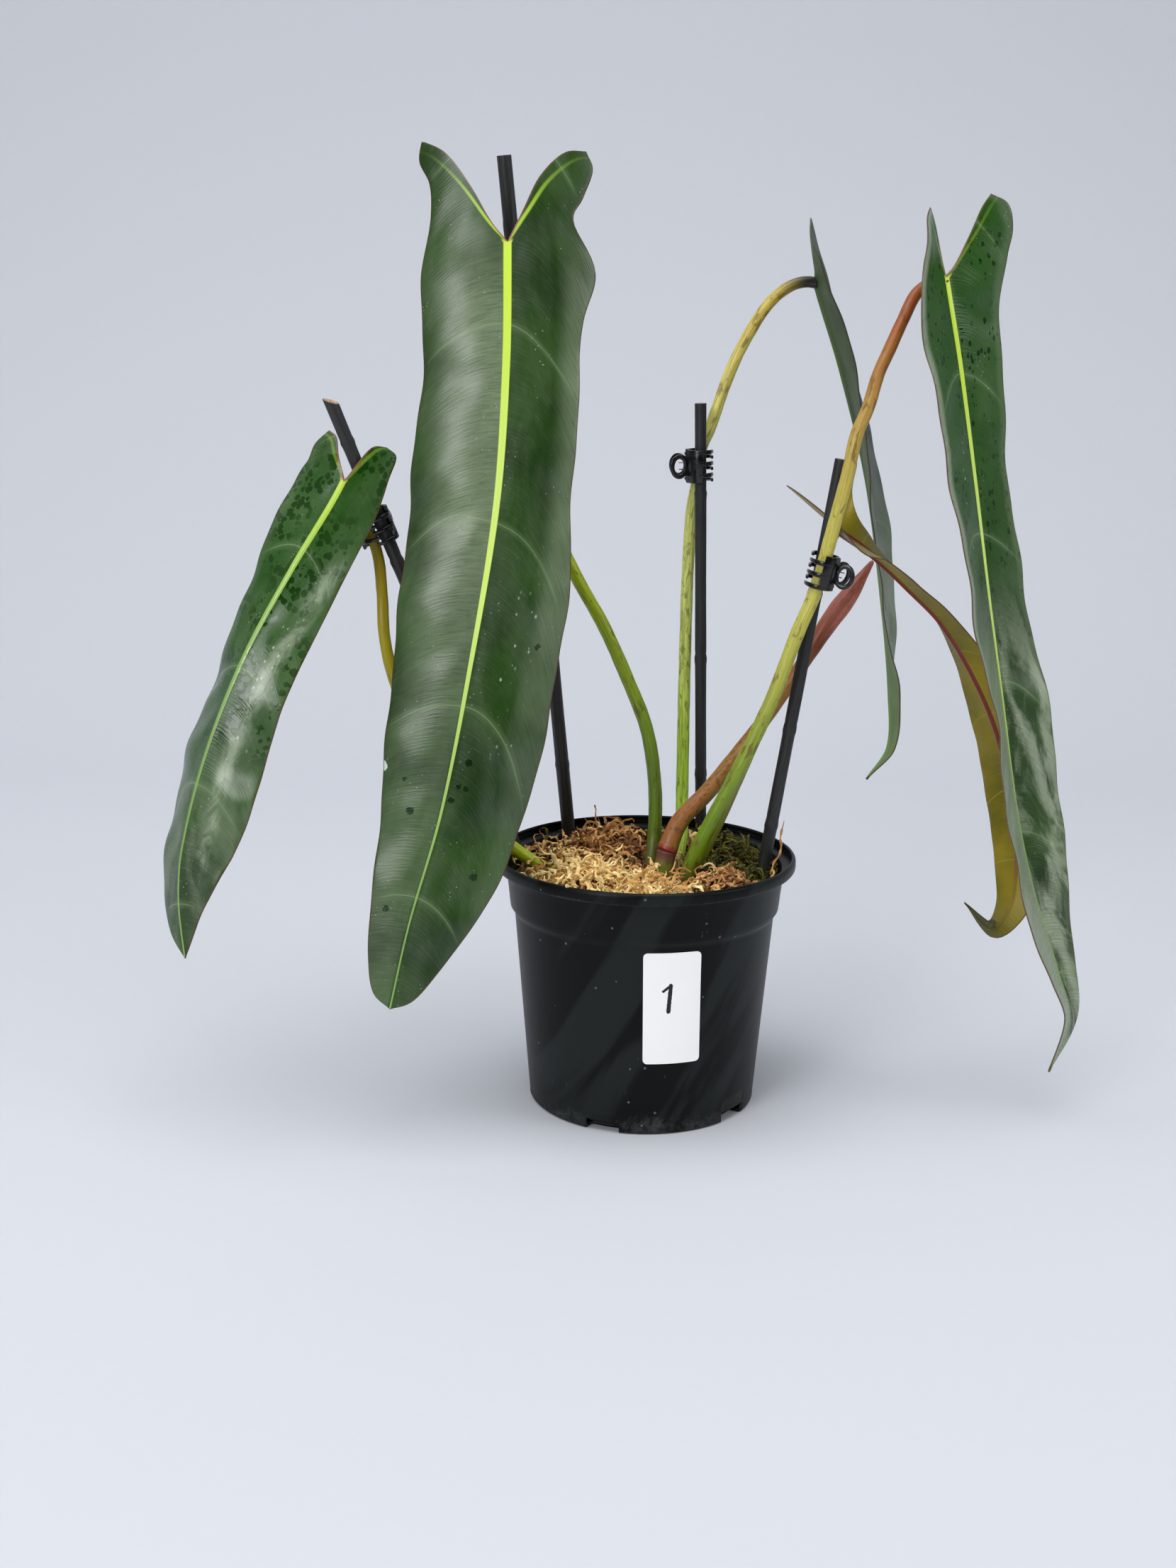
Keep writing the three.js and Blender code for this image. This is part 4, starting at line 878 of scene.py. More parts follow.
def leaf_painted_sheen(w, along, away, vein_place, broad, haze):
    """Mask of the painted sheen, broad and dull: on each side it grows from one distance from the midrib to
    another, and along the blade it comes in, holds and falls to its low share. Streaks in the ribs' direction
    break it."""
    start, full, hold, end = haze["along"]
    far, near, strength = haze["left"]
    left = w.step(away, far, near, 0.05, strength) * w.fall(away, -1.6, -0.6)
    near, far, strength = haze["right"]
    both = left + w.step(away, near, far, 0.0, strength)
    reach = w.step(along, start, full) * w.step(along, hold, end, 1.0, haze["low"])
    streak = w.noise(w.join(vein_place * 0.9, away * 0.11, 9.0), 1.0, 5.0, 0.7, 0.6)
    return both * reach * (w.step(broad, 0.3, 0.62, 0.8, 1.0) * w.step(streak, 0.3, 0.66, 0.6, 1.1))


def leaf_shine(w, along, away, shine):
    """Mask of a broken light band that starts near the right margin and nears the midrib further down."""
    start, end, first, last, strength = shine
    gap = abs(away - w.step(along, start, (start + end) * 0.6, first, last))
    cloud = w.noise(w.join(away * 0.16, along * 0.06, 11.0), 1.0, 5.0, 0.65, 0.8)
    band = w.fall(gap, 0.5, 5.0, strength) * w.step(cloud, 0.36, 0.6, 0.12, 1.0)
    return band * w.within(along, start, end, 22.0, 50.0)


def leaf_flakes(w, along, away, band):
    """Mask of dried white flakes within a band of the blade: small round cells that a chance picks."""
    low, high, near, far = band
    gap, chance = w.cells(w.join(away * 0.55, along * 0.34, 5.0))
    flake = w.fall(gap, 0.16, 0.32, 0.6) * w.step(chance, 0.62, 0.7)
    return flake * (w.within(along, low, high, 12.0, 20.0) * w.within(away, near, far, 2.0, 3.0))


def leaf_glare(w, along, away, rim, finish):
    """Mask of the painted reflection of the bright sky in the blade: cloudy patches that slant with the veins
    from one distance on, a painted highlight band inside the margin, and a painted highlight strip beside the
    midrib."""
    patch = w.noise(w.join(away * 0.085, (abs(away) * -1.1 + along) * 0.035, 2.0), 1.0, 4.0, 0.62, 0.5)
    start, full, strength = finish["glare"]
    pale = w.step(patch, 0.38, 0.62) * w.step(along, start, full) * strength
    glare = w.most(pale, w.fall(rim, 2.0, 6.0, finish["edge"]) * w.step(away, -2.0, 0.0, 1.0, 0.25))
    if "strip" not in finish:
        return glare
    start, full, strength = finish["strip"]
    return w.most(glare, w.step(along, start, full, 0.0, strength) * w.fall(away, -0.8, 0.0))


def leaf_material(name, look, finish, length):
    """The blade: dark green with ribs and pale side veins above, a bright midrib and a thin red margin, a
    cloudy film with drops, and a paler matt underside. Painted sheen and painted reflections of the bright
    sky are laid into its colour, the film is partly painted grey sheen, and the back blade has painted shade."""
    w = Surface(f"leaf {name}")
    along, away, core, rim, under = (w.mark(n) for n in (*BLADE_MARKS, "under"))
    spacing, shift, bend_left, bend_right = finish["veins"]
    share, size, stretch, start, end, darkness = finish["drops"]
    rib_width, fade_start, fade_end = finish["midrib"]
    ribs = w.group(fine_ribs, along, away, w.step(away, -0.5, 0.5, bend_left, bend_right), 1.5)
    veins = w.group(side_veins, ribs["Vein place"], away, spacing, 0.5, shift)
    middle = w.group(midrib, along, core, length, look.midrib_width / 2 * rib_width)
    wet = w.group(wet_marks, along, away, size, stretch, share, start, end)

    def marks_of(kind):
        return [w.group(leaf_spot, along, away, (x, y, 0.0), radius)["Spot"]
                for y, x, radius in finish.get(kind, ())]

    broad = w.noise(w.object_place(), 0.03)
    film = wet["Film"] * finish["film"]
    drops = w.most(wet["Drops"], *marks_of("spots"))
    flakes = w.most(wet["Specks"] * 0.55, leaf_flakes(w, along, away, finish["flakes"]), *marks_of("chips"))
    shine = [(leaf_shine(w, along, away, finish["shine"]), look.glare)] if "shine" in finish else []
    red_rim = (w.fall(rim, 0.25, 0.6, 0.85), look.margin)
    green = w.layers(
        look.dark_green,
        (w.step(broad, 0.35, 0.65), look.mid_green),
        (w.fall(along, 60.0, 190.0, finish["vivid"]), look.vivid_green),
        # Painted sheen along the tops of the fine ribs
        (ribs["Height"] * finish["ribs"], look.rib_green),
        # Painted sheen over each half of the blade
        (leaf_painted_sheen(w, along, away, ribs["Vein place"], broad, finish["haze"]), look.haze),
        # Film, strongest on the rib tops: partly a dried film, partly painted grey sheen
        (film * w.step(ribs["Height"], 0.4, 1.0, 0.55, 1.0), look.film),
        (drops * darkness, look.wet_green),
        # Painted reflection of the bright sky: cloudy patches, a band inside the margin and a strip by the
        # midrib
        (leaf_glare(w, along, away, rim, finish) * w.step(ribs["Height"], 0.0, 1.0, 0.75, 1.0), look.glare),
        *shine,
        ((veins["Glow"] * 0.16 + veins["Line"] * 0.42) * w.step(rim, 0.0, 9.0), look.vein),
        (flakes, look.speck),
    )
    rib_colour = w.layers(
        look.midrib,
        (w.step(along, length * 0.05, length * 0.35), look.midrib_pale),
        (w.step(along, length * fade_start, length * fade_end), look.midrib_tip),
    )
    sinus = w.fall(core, 0.3, 0.9) * w.step(along, -18.0, -1.0, 0.35, 1.0)
    top = w.layers(
        green,
        (middle["Lobe vein"] * finish["lobe_vein"], look.lobe_vein),
        (middle["Rib"], rib_colour),
        red_rim,
        (sinus * w.fall(along, -0.4, 0.6), look.sinus),
    )
    below = w.layers(
        look.underside,
        (w.step(broad, 0.3, 0.7), look.underside_pale),
        (veins["Line"] * 0.5, look.underside_pale),
        (w.fall(core, 0.8, 1.8, 0.8), look.midrib_tip),
        red_rim,
    )
    colour = w.mix(under, top, below)
    # Painted shade darkens the top of the blade, full up to its first distance along and gone at its second
    if "black" in finish:
        full, end, strength = finish["black"]
        colour = w.mix(w.fall(along, full, end, strength), colour, look.painted_shade_green)
    dull = broad * 0.12 + (film * 0.22 + (finish["rough"] - 0.06) - drops * 0.2)
    rough = w.math("MULTIPLY_ADD", under, 0.22, dull, clamp=True)
    swell = w.noise(w.join(away * 0.1, along * 0.06), 1.0, 2.0) * 3.0
    height = swell + drops * 0.8 + veins["Glow"] * -0.8 + ribs["Height"]
    depth = look.rib_depth * finish["depth"]
    return w.finish(colour, rough, height * (1.0 - middle["Rib"]), depth, 0.25, Specular_IOR_Level=0.45)


def young_leaf_material(look, length):
    """The young blade: olive and waxy, with a dark red midrib, pale side veins and a red-brown margin."""
    w = Surface("leaf young")
    along, away, core, rim, under = (w.mark(n) for n in (*BLADE_MARKS, "under"))
    ribs = w.group(fine_ribs, along, away, 0.03, 1.2)
    veins = w.group(side_veins, ribs["Vein place"], away, 34.0, 0.45, 12.0)
    broad = w.noise(w.object_place(), 0.04)
    above = w.layers(
        look.young_green,
        (w.step(broad, 0.35, 0.65), look.mid_green),
        (w.fall(along, 6.0, 40.0, 0.9), look.young_gold),
    )
    below = w.layers(
        look.young_olive,
        (w.step(broad, 0.3, 0.7), look.young_gold),
        (w.step(along, 10.0, -20.0, 0.0, 0.5), look.young_gold),
    )
    half_width = w.step(along, 0.0, length, 1.9, 0.5)
    line = w.fall(core / half_width, 0.75, 1.1) * w.step(along, 150.0, 215.0, 1.0, 0.15)
    colour = w.layers(
        w.mix(under, above, below),
        (w.step(ribs["Height"], 0.4, 1.0, 0.0, 0.3), look.young_gold),
        (veins["Line"] * 0.45, look.young_vein),
        (line * w.step(along, -2.0, 1.0), look.young_midrib),
        (w.fall(rim, 0.2, 0.5, 0.8), look.margin),
        (w.step(along, 196.0, 226.0, 0.0, 0.85), look.young_tip),
    )
    rough = w.step(broad, 0.3, 0.7, 0.38, 0.5)
    return w.finish(colour, rough, veins["Glow"] * -0.8 + ribs["Height"], 0.35, 0.25)


# Colours of each stalk at its foot, middle and top, the share and colour of its blotches, and the strength
# of its streaks
STALK_FINISH = {
    "front": (((92, 122, 4), (168, 186, 0), (156, 174, 2)), 0.5, (66, 62, 6), 0.4),
    "left": (((180, 206, 24), (162, 152, 8), (156, 132, 6)), 0.35, (96, 72, 4), 0.3),
    "back": (((182, 224, 60), (228, 234, 130), (206, 182, 84)), 0.56, (96, 76, 20), 0.5),
    "right": (((104, 138, 4), (198, 190, 84), (156, 78, 34)), 0.52, (92, 58, 10), 0.3),
    "young": (((110, 130, 24), (168, 130, 50), (168, 128, 40)), 0.5, (104, 50, 24), 0.4),
}


def stalk_material(name, look):
    """A stalk: three colours from foot to top, fibres along it, and dark purple-brown blotches."""
    w = Surface(f"stalk {name}")
    (foot, middle, top), blotched, dark, streak = STALK_FINISH[name]
    share = w.mark("share")
    marks = w.group(blotches, w.mark("skin", "Vector"), 0.42, 0.32, blotched)
    colour = w.layers(
        paint(*foot),
        (w.step(share, 0.16, 0.58), paint(*middle)),
        (w.step(share, 0.55, 0.95), paint(*top)),
        (w.fall(share, 0.05, 0.13, 0.6), look.foot),
        (w.step(marks["Fibre"], 0.4, 0.66, 0.0, streak), paint(*dark)),
        (marks["Blotch"] * look.blotches, paint(*dark)),
    )
    # Painted shadow: the top of the back stalk turns near black where it is shaded
    if name == "back":
        colour = w.mix(w.step(share, 0.93, 0.99), colour, (0.012, 0.008, 0.006, 1))
    return w.finish(colour, w.step(marks["Fibre"], 0.3, 0.7, 0.32, 0.46), marks["Fibre"], 0.35, 0.25)


def shoot_material(look):
    """The spear of the next leaf: red ring at its foot, speckled brown, pink at its tip."""
    w = Surface("shoot")
    share = w.mark("share")
    skin = w.mark("skin", "Vector")
    marks = w.group(blotches, skin, 0.7, 0.6, 0.6)
    side = w.math("SINE", w.part(skin, "X") / 2.4)
    spots = marks["Blotch"] * w.step(share, 0.4, 0.7, look.blotches, look.blotches * 0.25)
    colour = w.layers(
        paint(160, 96, 44),
        (w.step(share, 0.1, 0.3), paint(150, 104, 34)),
        (w.step(side, -0.2, 0.8) * w.fall(share, 0.3, 0.6, 0.55), paint(128, 122, 30)),
        (w.step(share, 0.5, 0.75), paint(132, 56, 38)),
        (w.step(share, 0.72, 0.86) * w.step(side, -0.6, 0.5, 0.5, 1.0), paint(226, 132, 118)),
        (w.step(marks["Fibre"], 0.42, 0.6, 0.0, 0.5), paint(112, 84, 34)),
        (spots, paint(88, 44, 22)),
        (w.fall(share, 0.006, 0.013, 0.8), paint(134, 28, 36)),
    )
    return w.finish(colour, w.step(marks["Fibre"], 0.3, 0.7, 0.34, 0.48), marks["Fibre"], 0.4, 0.25)


def stem_material(look):
    """The crown: olive green, purple at its top, with scars."""
    w = Surface("crown")
    marks = w.group(blotches, w.mark("skin", "Vector"), 0.5, 0.5, 0.45)
    colour = w.layers(
        paint(120, 132, 30),
        (w.step(w.mark("share"), 0.82, 1.0), paint(104, 56, 54)),
        (marks["Blotch"] * look.blotches, paint(70, 56, 40)),
    )
    return w.finish(colour, w.step(marks["Fibre"], 0.3, 0.7, 0.36, 0.5), marks["Fibre"], 0.4, 0.3)


def cane_material(look):
    """Black-dyed bamboo: fine grain along it, worn a little browner, and tan where it is cut."""
    w = Surface("black cane")
    skin = w.mark("skin", "Vector")
    grain = w.noise(w.vector("MULTIPLY", skin, (1.8, 1.8, 0.05)), 1.0, 4.0, 0.65)
    worn = w.noise(w.vector("MULTIPLY", skin, (0.3, 0.3, 0.08)), 1.0, 4.0, 0.6)
    colour = w.layers(
        look.black,
        (w.step(grain, 0.35, 0.75, 0.0, 0.7), look.sheen),
        (w.step(worn, 0.55, 0.75, 0.0, 0.4), look.worn),
        (w.mark("cut"), w.mix(w.step(grain, 0.3, 0.7), look.cut, look.cut_dark)),
    )
    return w.finish(colour, w.step(worn, 0.3, 0.7, 0.42, 0.6), grain, 0.45, 0.2)


def clip_material(look):
    """Glossy black moulded plastic with faint handling marks."""
    w = Surface("clip plastic")
    place = w.object_place()
    haze = w.noise(place, 0.5)
    colour = w.mix(w.step(haze, 0.5, 0.8, 0.0, 0.25), look.plastic, (0.05, 0.052, 0.056, 1))
    rough = w.step(haze, 0.3, 0.7, look.roughness, look.roughness + 0.14)
    return w.finish(colour, rough, w.noise(place, 3.0, 2.0), 0.1, 0.05)


def steel_material(look):
    """Drawn spring wire."""
    w = Surface("clip steel")
    drawn = w.noise(w.vector("MULTIPLY", w.mark("skin", "Vector"), (4.0, 4.0, 0.3)), 1.0)
    colour = w.mix(drawn, look.steel, (0.16, 0.16, 0.17, 1))
    return w.finish(colour, w.step(drawn, 0.3, 0.7, 0.22, 0.4), Metallic=1.0)


def turned(radius, angles, z):
    """Points at a radius, an angle and a height about the pot's axis."""
    radius, angles, z = np.broadcast_arrays(radius, angles, z)
    return np.stack([radius * np.cos(angles), radius * np.sin(angles), z], -1)


def pot_radius(z):
    """Radius of the pot's outer face below the step: a straight line from the corner to the step."""
    rise = (z - POT["corner_height"]) / (POT["step_low"] - POT["corner_height"])
    return POT["base_radius"] + (POT["body_top_radius"] - POT["base_radius"]) * rise


def pot_piece(look):
    """A sheet of revolution from the middle of the base to the rolled lip's inner edge: radius and height
    follow the profile, the angle goes round. Faces within the notches are left out, and the wall gets its
    thickness inwards."""
    rounding = 1.6
    base = [(0.01, 0.6), (20, 0.6), (38, 0.5), (44, 0.1), (46.5, 0.0), (48.0, 0.0)]
    foot = [(POT["base_radius"] + rounding * (math.cos(a) - 1), rounding * (math.sin(a) + 1))
            for a in np.radians([-72, -54, -36, -18])]
    wall = [(pot_radius(z), z) for z in (2.0, 3.5, 5.0, 12, 22, 34, 46, 58, 70, 80, 83.6)]
    top = [
        (56.3, 84.4), (56.7, 85.2), (57.6, 86.4), (58.15, 87.2), (58.4, 89), (58.9, 94), (59.5, 99),
        (59.95, 103.4), (60.3, 104.3), (61.2, 104.75), (63.4, 104.7), (64.4, 104.9), (64.85, 105.5),
        (65, 106.5), (65, 108), (64.9, 108.9), (64.5, 109.6), (63.9, 109.95), (63.4, 110.0),
    ]
    profile = np.array(base + foot + wall + top)
    half = math.degrees(NOTCH["width"] / 2 / POT["base_radius"])
    period = 360 / NOTCH["count"]
    turns = np.concatenate([np.linspace(-half, half, 9)[:-1], np.linspace(half, period - half, 28)[:-1]])
    angles = np.radians((turns + NOTCH["first_angle"] + np.arange(NOTCH["count"])[:, None] * period).ravel())
    in_notch = np.tile(np.abs(turns + 0.01) < half, NOTCH["count"])
    corners = turned(profile[:, :1], angles, profile[:, 1:])
    rows, columns = corners.shape[:2]
    outer = profile[1:-1, :1] > POT["base_radius"] - NOTCH["depth"]
    low = profile[2:, 1:] < NOTCH["height"] + 0.1
    quads = wrapped_quads(rows, columns)[1:][~(in_notch & outer & low)]
    ring = np.arange(columns)
    middle = np.stack([0 * ring, columns + (ring + 1) % columns, columns + ring], 1)
    shell = Shell()
    shell.add(*only_used(corners.reshape(-1, 3), quads, middle))
    made = shell.piece("nursery_pot_moulding", pot_material(look), 35)
    solid = made.modifiers.new("wall", "SOLIDIFY")
    solid.thickness = POT["wall"] * MM
    solid.offset = -1
    solid.use_even_offset = True
    place_piece(made, ["nursery_pot"])


def label_piece(look):
    """A thin sheet with round corners that follows the pot's cone: angle = (across + lean) / radius, where
    the lean grows towards its foot, so that the sticker stands upright."""
    rows, columns = 41, 25
    low, high, corner = LABEL["low"], LABEL["high"], LABEL["corner"]
    half_height, middle = (high - low) / 2, (high + low) / 2
    half_width = math.radians(LABEL["half_angle"]) * pot_radius(middle)
    rise = -half_height * np.cos(np.linspace(0, math.pi, rows))[:, None]
    over = np.maximum(np.abs(rise) - (half_height - corner), 0)
    half = half_width - corner + np.sqrt(np.maximum(corner**2 - over**2, 0))
    across = np.linspace(-1, 1, columns) * half
    z = middle + rise + 0 * across
    upright = across + LABEL["lean"] * (high - z) / (high - low)
    lift = 0.35 * smoothstep(0.6, 1.0, across / half_width) * smoothstep(0.5, 1.0, rise / half_height)
    sheets = []
    for out in (LABEL["gap"] + LABEL["thickness"], LABEL["gap"]):
        radius = pot_radius(z) + out + lift
        sheets.append(turned(radius, math.radians(LABEL["angle"]) + upright / radius, z))
    grid = np.arange(z.size).reshape(z.shape)
    faces = sheet_quads(grid)
    edge = np.concatenate([grid[0], grid[1:, -1], grid[-1, -2::-1], grid[-2:0:-1, 0]])
    after = np.roll(edge, -1)
    rim = np.stack([after, edge, edge + z.size, after + z.size], 1)
    sheet = np.stack([across + half_width, z - low, 0 * z], -1)
    shell = Shell()
    shell.add(sheets, np.vstack([faces, faces[:, ::-1] + z.size, rim]), sheet=[sheet, sheet])
    place_piece(shell.piece("number_sticker", label_material(look), 30), ["number_label"])


def moss_height(x, y):
    """The level of the moss: low waves, a mound at the back left, a bank against the front lip and a dip
    at the crown, and it falls to its edge."""
    wave = np.sin(x * 0.13 + 1) * np.cos(y * 0.11) + 0.5 * np.sin(x * 0.31 + y * 0.27)
    level = MOSS["level"] + MOSS["mound"] * wave
    level += 8.5 * np.exp(-((x + 15) ** 2 + (y - 16) ** 2) / 190)
    level += 5.0 * np.exp(-((x + 28) ** 2 / 700 + (y + 38) ** 2 / 160))
    level += 5.0 * np.exp(-((x + 46) ** 2 + (y + 6) ** 2) / 160)
    level += 4.0 * np.exp(-((x - 38) ** 2 + (y - 16) ** 2) / 260)
    level -= 2.0 * np.exp(-((x - 9) ** 2 + (y + 8) ** 2) / 120)
    return level - 3.5 * smoothstep(0.9 * MOSS["radius"], MOSS["radius"], np.hypot(x, y))


def moss_bed(look):
    """The body of the moss: its level over round rings, made rough, and a plain side down to its floor."""
    rings, sides = 44, 150
    angles = np.linspace(0, 2 * math.pi, sides, endpoint=False)
    profile = np.array([(46.0, 2.6), (47.5, 5.0), (50.0, 30), (52.4, 60), (54.2, 84), (56.0, 90)])
    top = turned(np.linspace(MOSS["radius"], 1.5, rings)[:, None], angles, 0.0)
    x, y = top[..., 0], top[..., 1]
    rough = 0.7 * np.sin(x * 1.3 + 3 * np.sin(y * 0.7)) * np.sin(y * 1.1 + 2 * np.sin(x * 0.9))
    top[..., 2] = moss_height(x, y) + rough
    shell = Shell()
    shell.tube(np.concatenate([turned(profile[:, :1], angles, profile[:, 1:]), top]))
    place_piece(shell.piece("moss_bed", bed_material(look), 80), ["sphagnum_moss"])


def strand_centres(rng, x, y, length, lift, curl):
    """Crinkled strands as centre lines: the heading is the sum of a slow and a quick sine of the distance
    along each strand, with a little noise, the pitch is one too, and the steps are summed."""
    one_each = (len(x), 1)
    s = np.linspace(0, 1, STATIONS) * length[:, None]
    turn = 2 * math.pi * s
    wave_a, wave_b = rng.uniform(11, 30, (2, *one_each))
    phase_a, phase_b = rng.uniform(0, 2 * math.pi, (2, *one_each))
    heading = rng.uniform(0, 2 * math.pi, one_each) + curl * np.sin(turn / wave_a + phase_a)
    heading = heading + 0.55 * np.sin(turn / rng.uniform(3.8, 6, one_each)) + rng.normal(0, 0.2, s.shape)
    pitch = rng.normal(0.05, 0.22, one_each) + 0.55 * np.sin(turn / wave_b + phase_b)
    pitch = pitch + 0.4 * np.cos(turn / rng.uniform(3.8, 6, one_each)) + rng.normal(0, 0.15, s.shape)
    level = np.cos(pitch)
    moves = np.stack([level * np.cos(heading), level * np.sin(heading), np.sin(pitch)], -1)
    path = np.cumsum(moves * (length / (STATIONS - 1))[:, None, None], axis=1)
    path -= path[:, STATIONS // 2][:, None]
    return keep_in_pot(x, y, lift, path)


def loop_centres(rng, x, y):
    """Strands that stand up in loops: a circle in an upright plane that opens into a screw as it turns."""
    one_each = (len(x), 1)
    turn = np.linspace(0, 1, STATIONS) * rng.uniform(3.6, 7.5, one_each) + rng.uniform(-2.4, -1.2, one_each)
    radius = rng.uniform(2.2, 4.6, one_each) * (1 + 0.18 * np.sin(turn * 2.3))
    heading = rng.normal(0.0, 0.9, one_each)
    drift = (turn - turn.mean(1, keepdims=True)) * rng.uniform(0.3, 1.0, one_each)
    flat = radius * np.cos(turn)
    path = np.stack([flat * np.cos(heading) - drift * np.sin(heading),
                     flat * np.sin(heading) + drift * np.cos(heading), radius * (1 + np.sin(turn))], -1)
    return keep_in_pot(x, y, -1.0, path)


def keep_in_pot(x, y, lift, path):
    """Centre lines that leave the moss as their path goes, drawn in to the pot's inner wall, and up to the
    moss where they would sink."""
    centres = np.stack([x, y, moss_height(x, y) + lift], -1)[:, None] + path
    radius = np.hypot(centres[..., 0], centres[..., 1])
    centres[..., :2] *= np.minimum(1, MOSS["radius"] / np.maximum(radius, 1e-6))[..., None]
    centres[..., 2] = np.maximum(centres[..., 2], moss_height(centres[..., 0], centres[..., 1]) - 0.8)
    return centres


def add_strands(shell, rng, centres, width, thick):
    """Flat strands whose four corners follow their centre lines. They turn about their lines, and their
    edges are ragged."""
    count = len(centres)
    share = np.linspace(0, 1, STATIONS)
    ragged = rng.uniform(0.6, 1.08, (count, STATIONS))
    taper = np.clip(np.minimum(share * 7, (1 - share) * 5) + 0.15, 0, 1)
    tangents = unit(np.gradient(centres, axis=1))
    level = unit(np.cross(tangents, unit(rng.normal(0, 1, (count, 1, 3)))))
    turn = (share * rng.uniform(-5, 5, (count, 1)))[..., None]
    across = level * np.cos(turn) + np.cross(tangents, level) * np.sin(turn)
    across_way = across * ((width[:, None] / 2) * ragged * taper)[..., None]
    up_way = np.cross(tangents, across) * ((thick[:, None] / 2) * taper)[..., None]
    corners = np.stack([centres + way for way in (across_way, up_way, -across_way, -up_way)], 2)
    end = (STATIONS - 1) * 4
    ends = [[3, 2, 1, 0], [end, end + 1, end + 2, end + 3]]
    quads = np.vstack([wrapped_quads(STATIONS, 4).reshape(-1, 4), ends])
    offset = np.arange(count)[:, None, None] * STATIONS * 4
    tint = np.repeat(rng.uniform(0, 1, count), STATIONS * 4)
    # Height above the moss, from which the strands get their painted shade low down
    high = np.clip((centres[..., 2] - moss_height(centres[..., 0], centres[..., 1])) / 7, 0, 1)
    shell.add(corners, quads + offset, tint=tint, high=np.repeat(high.ravel(), 4))


def scatter(rng, count, spots):
    """Places on the moss: round clouds about the given spots (x, y, spread, weight), kept inside the pot."""
    spots = np.array(spots, float)
    weight = spots[:, 3] / spots[:, 3].sum()
    spots = spots[rng.choice(len(spots), count * 2, p=weight)]
    x, y = (spots[:, k] + rng.normal(0, 1, count * 2) * spots[:, 2] for k in (0, 1))
    keep = np.hypot(x, y) < MOSS["radius"] - 1.0
    return x[keep][:count], y[keep][:count]


def clear_of_stalks(centres):
    """Only the strands that keep away from the lines of all stalks."""
    lines = np.vstack([smooth_route(stalk["route"], 90)[0] for stalk in STALKS.values()])
    lines = lines[lines[:, 2] < MOSS["stalk_top"]]
    gap = np.linalg.norm(centres[:, :, None] - lines, axis=-1).min(axis=(1, 2))
    return centres[gap > MOSS["stalk_gap"]]


def moss_strands(look):
    """Three kinds of curly strands over the bed, each kind one piece, and a few single ones in the photo."""
    rng = np.random.default_rng(look.seed)
    # The last colour of each kind is its painted shade low in the moss; brown paints it for the pale strands
    finishes = {
        "pale": strand_material("pale", look.cream, look.tan, look.brown),
        "brown": strand_material("brown", look.gold, look.brown, look.deep),
        "green": strand_material("green", look.green, look.green_deep, look.deep),
    }
    counts = {"pale": look.pale_strands, "brown": look.brown_strands, "green": look.green_strands}
    for kind, spec in MOSS_KINDS.items():
        x, y = scatter(rng, counts[kind], spec["spots"])
        length = rng.uniform(*spec["length"], len(x))
        lift = np.abs(rng.normal(0, spec["lift"], len(x))) + 0.2
        centres = strand_centres(rng, x, y, length, lift, spec["curl"])
        loops = int(spec["loops"] * len(x))
        centres[:loops] = loop_centres(rng, x[:loops], y[:loops])
        centres = clear_of_stalks(centres)
        width, thick = rng.uniform(*spec["width"], len(centres)), rng.uniform(0.6, 1.1, len(centres))
        shell = Shell()
        add_strands(shell, rng, centres, width, thick)
        place_piece(shell.piece(f"moss_{kind}_strands", finishes[kind], 60), [])
    single_strands(finishes)


def single_strands(finishes):
    """Each single strand is a flat limb along its own route, with crinkled edges."""
    shells = {kind: Shell() for kind in MOSS_KINDS}
    for kind, width, route in SINGLES.values():
        centres, reach = smooth_route(route, 40)
        share = reach / reach[-1]
        fine = width < 0.5
        crinkle = 1.0 if fine else 0.75 + 0.25 * np.sin(share * 34)
        half = width / 2 * crinkle * np.clip((1 - share) * 5 + 0.12, 0, 1)
        rings = sweep(centres, round_ring(8) * (1.0, 1.0 if fine else 0.42) * half[:, None, None])
        if not fine:
            up = frames_along(centres)[1]
            rings += (0.35 * np.sin(share * 21)[:, None] * up)[:, None]
        # High sets the painted shade: a little at each single strand's foot, none at its end
        shells[kind].tube(rings, tint=0.6, high=0.5 + share / 2)
    for kind, shell in shells.items():
        place_piece(shell.piece(f"moss_{kind}_singles", finishes[kind], 60), [])


def blade_grid(blade, side):
    """One half of a blade in its own plane: rows of (distance, away) from the sinus edge or the spine out to
    the margin. They slant towards the tip, as side veins do, and lie closer near the spine and the margin."""
    lobe = np.array(blade["lobe"][side], float)
    sinus = np.vstack([lobe[0], blade["sinus"][side], (0, 0)])
    margin = np.vstack([blade["margin"][side], (blade["length"], 0)])
    outer = np.vstack([lobe, margin])
    t = np.linspace(0, 1, LOBE_ROWS + 1)
    inner_lobe = track(np.arange(len(sinus)), sinus, t * (len(sinus) - 1))
    edge_lobe = track(np.arange(len(outer)), outer, t * len(lobe))
    t = np.linspace(0, 1, BLADE_ROWS + 1)[1:]
    edge = track(np.arange(len(outer)), outer, len(lobe) + t * (len(margin) - 1))
    shoulder = margin[0, 0]
    distance = (edge[:, 0] - shoulder) / (blade["length"] - shoulder) * blade["length"]
    inner = np.vstack([inner_lobe, np.stack([distance, 0 * distance], 1)])
    edge = np.vstack([edge_lobe, edge])
    even = np.linspace(0, 1, COLUMNS)
    share = 0.4 * even + 0.6 * (1 - np.cos(math.pi * even)) / 2
    grid = inner[:, None] + (edge - inner)[:, None] * share[:, None]
    width = np.linalg.norm(edge - inner, axis=1)[:, None]
    return grid, share * width, (1 - share) * width


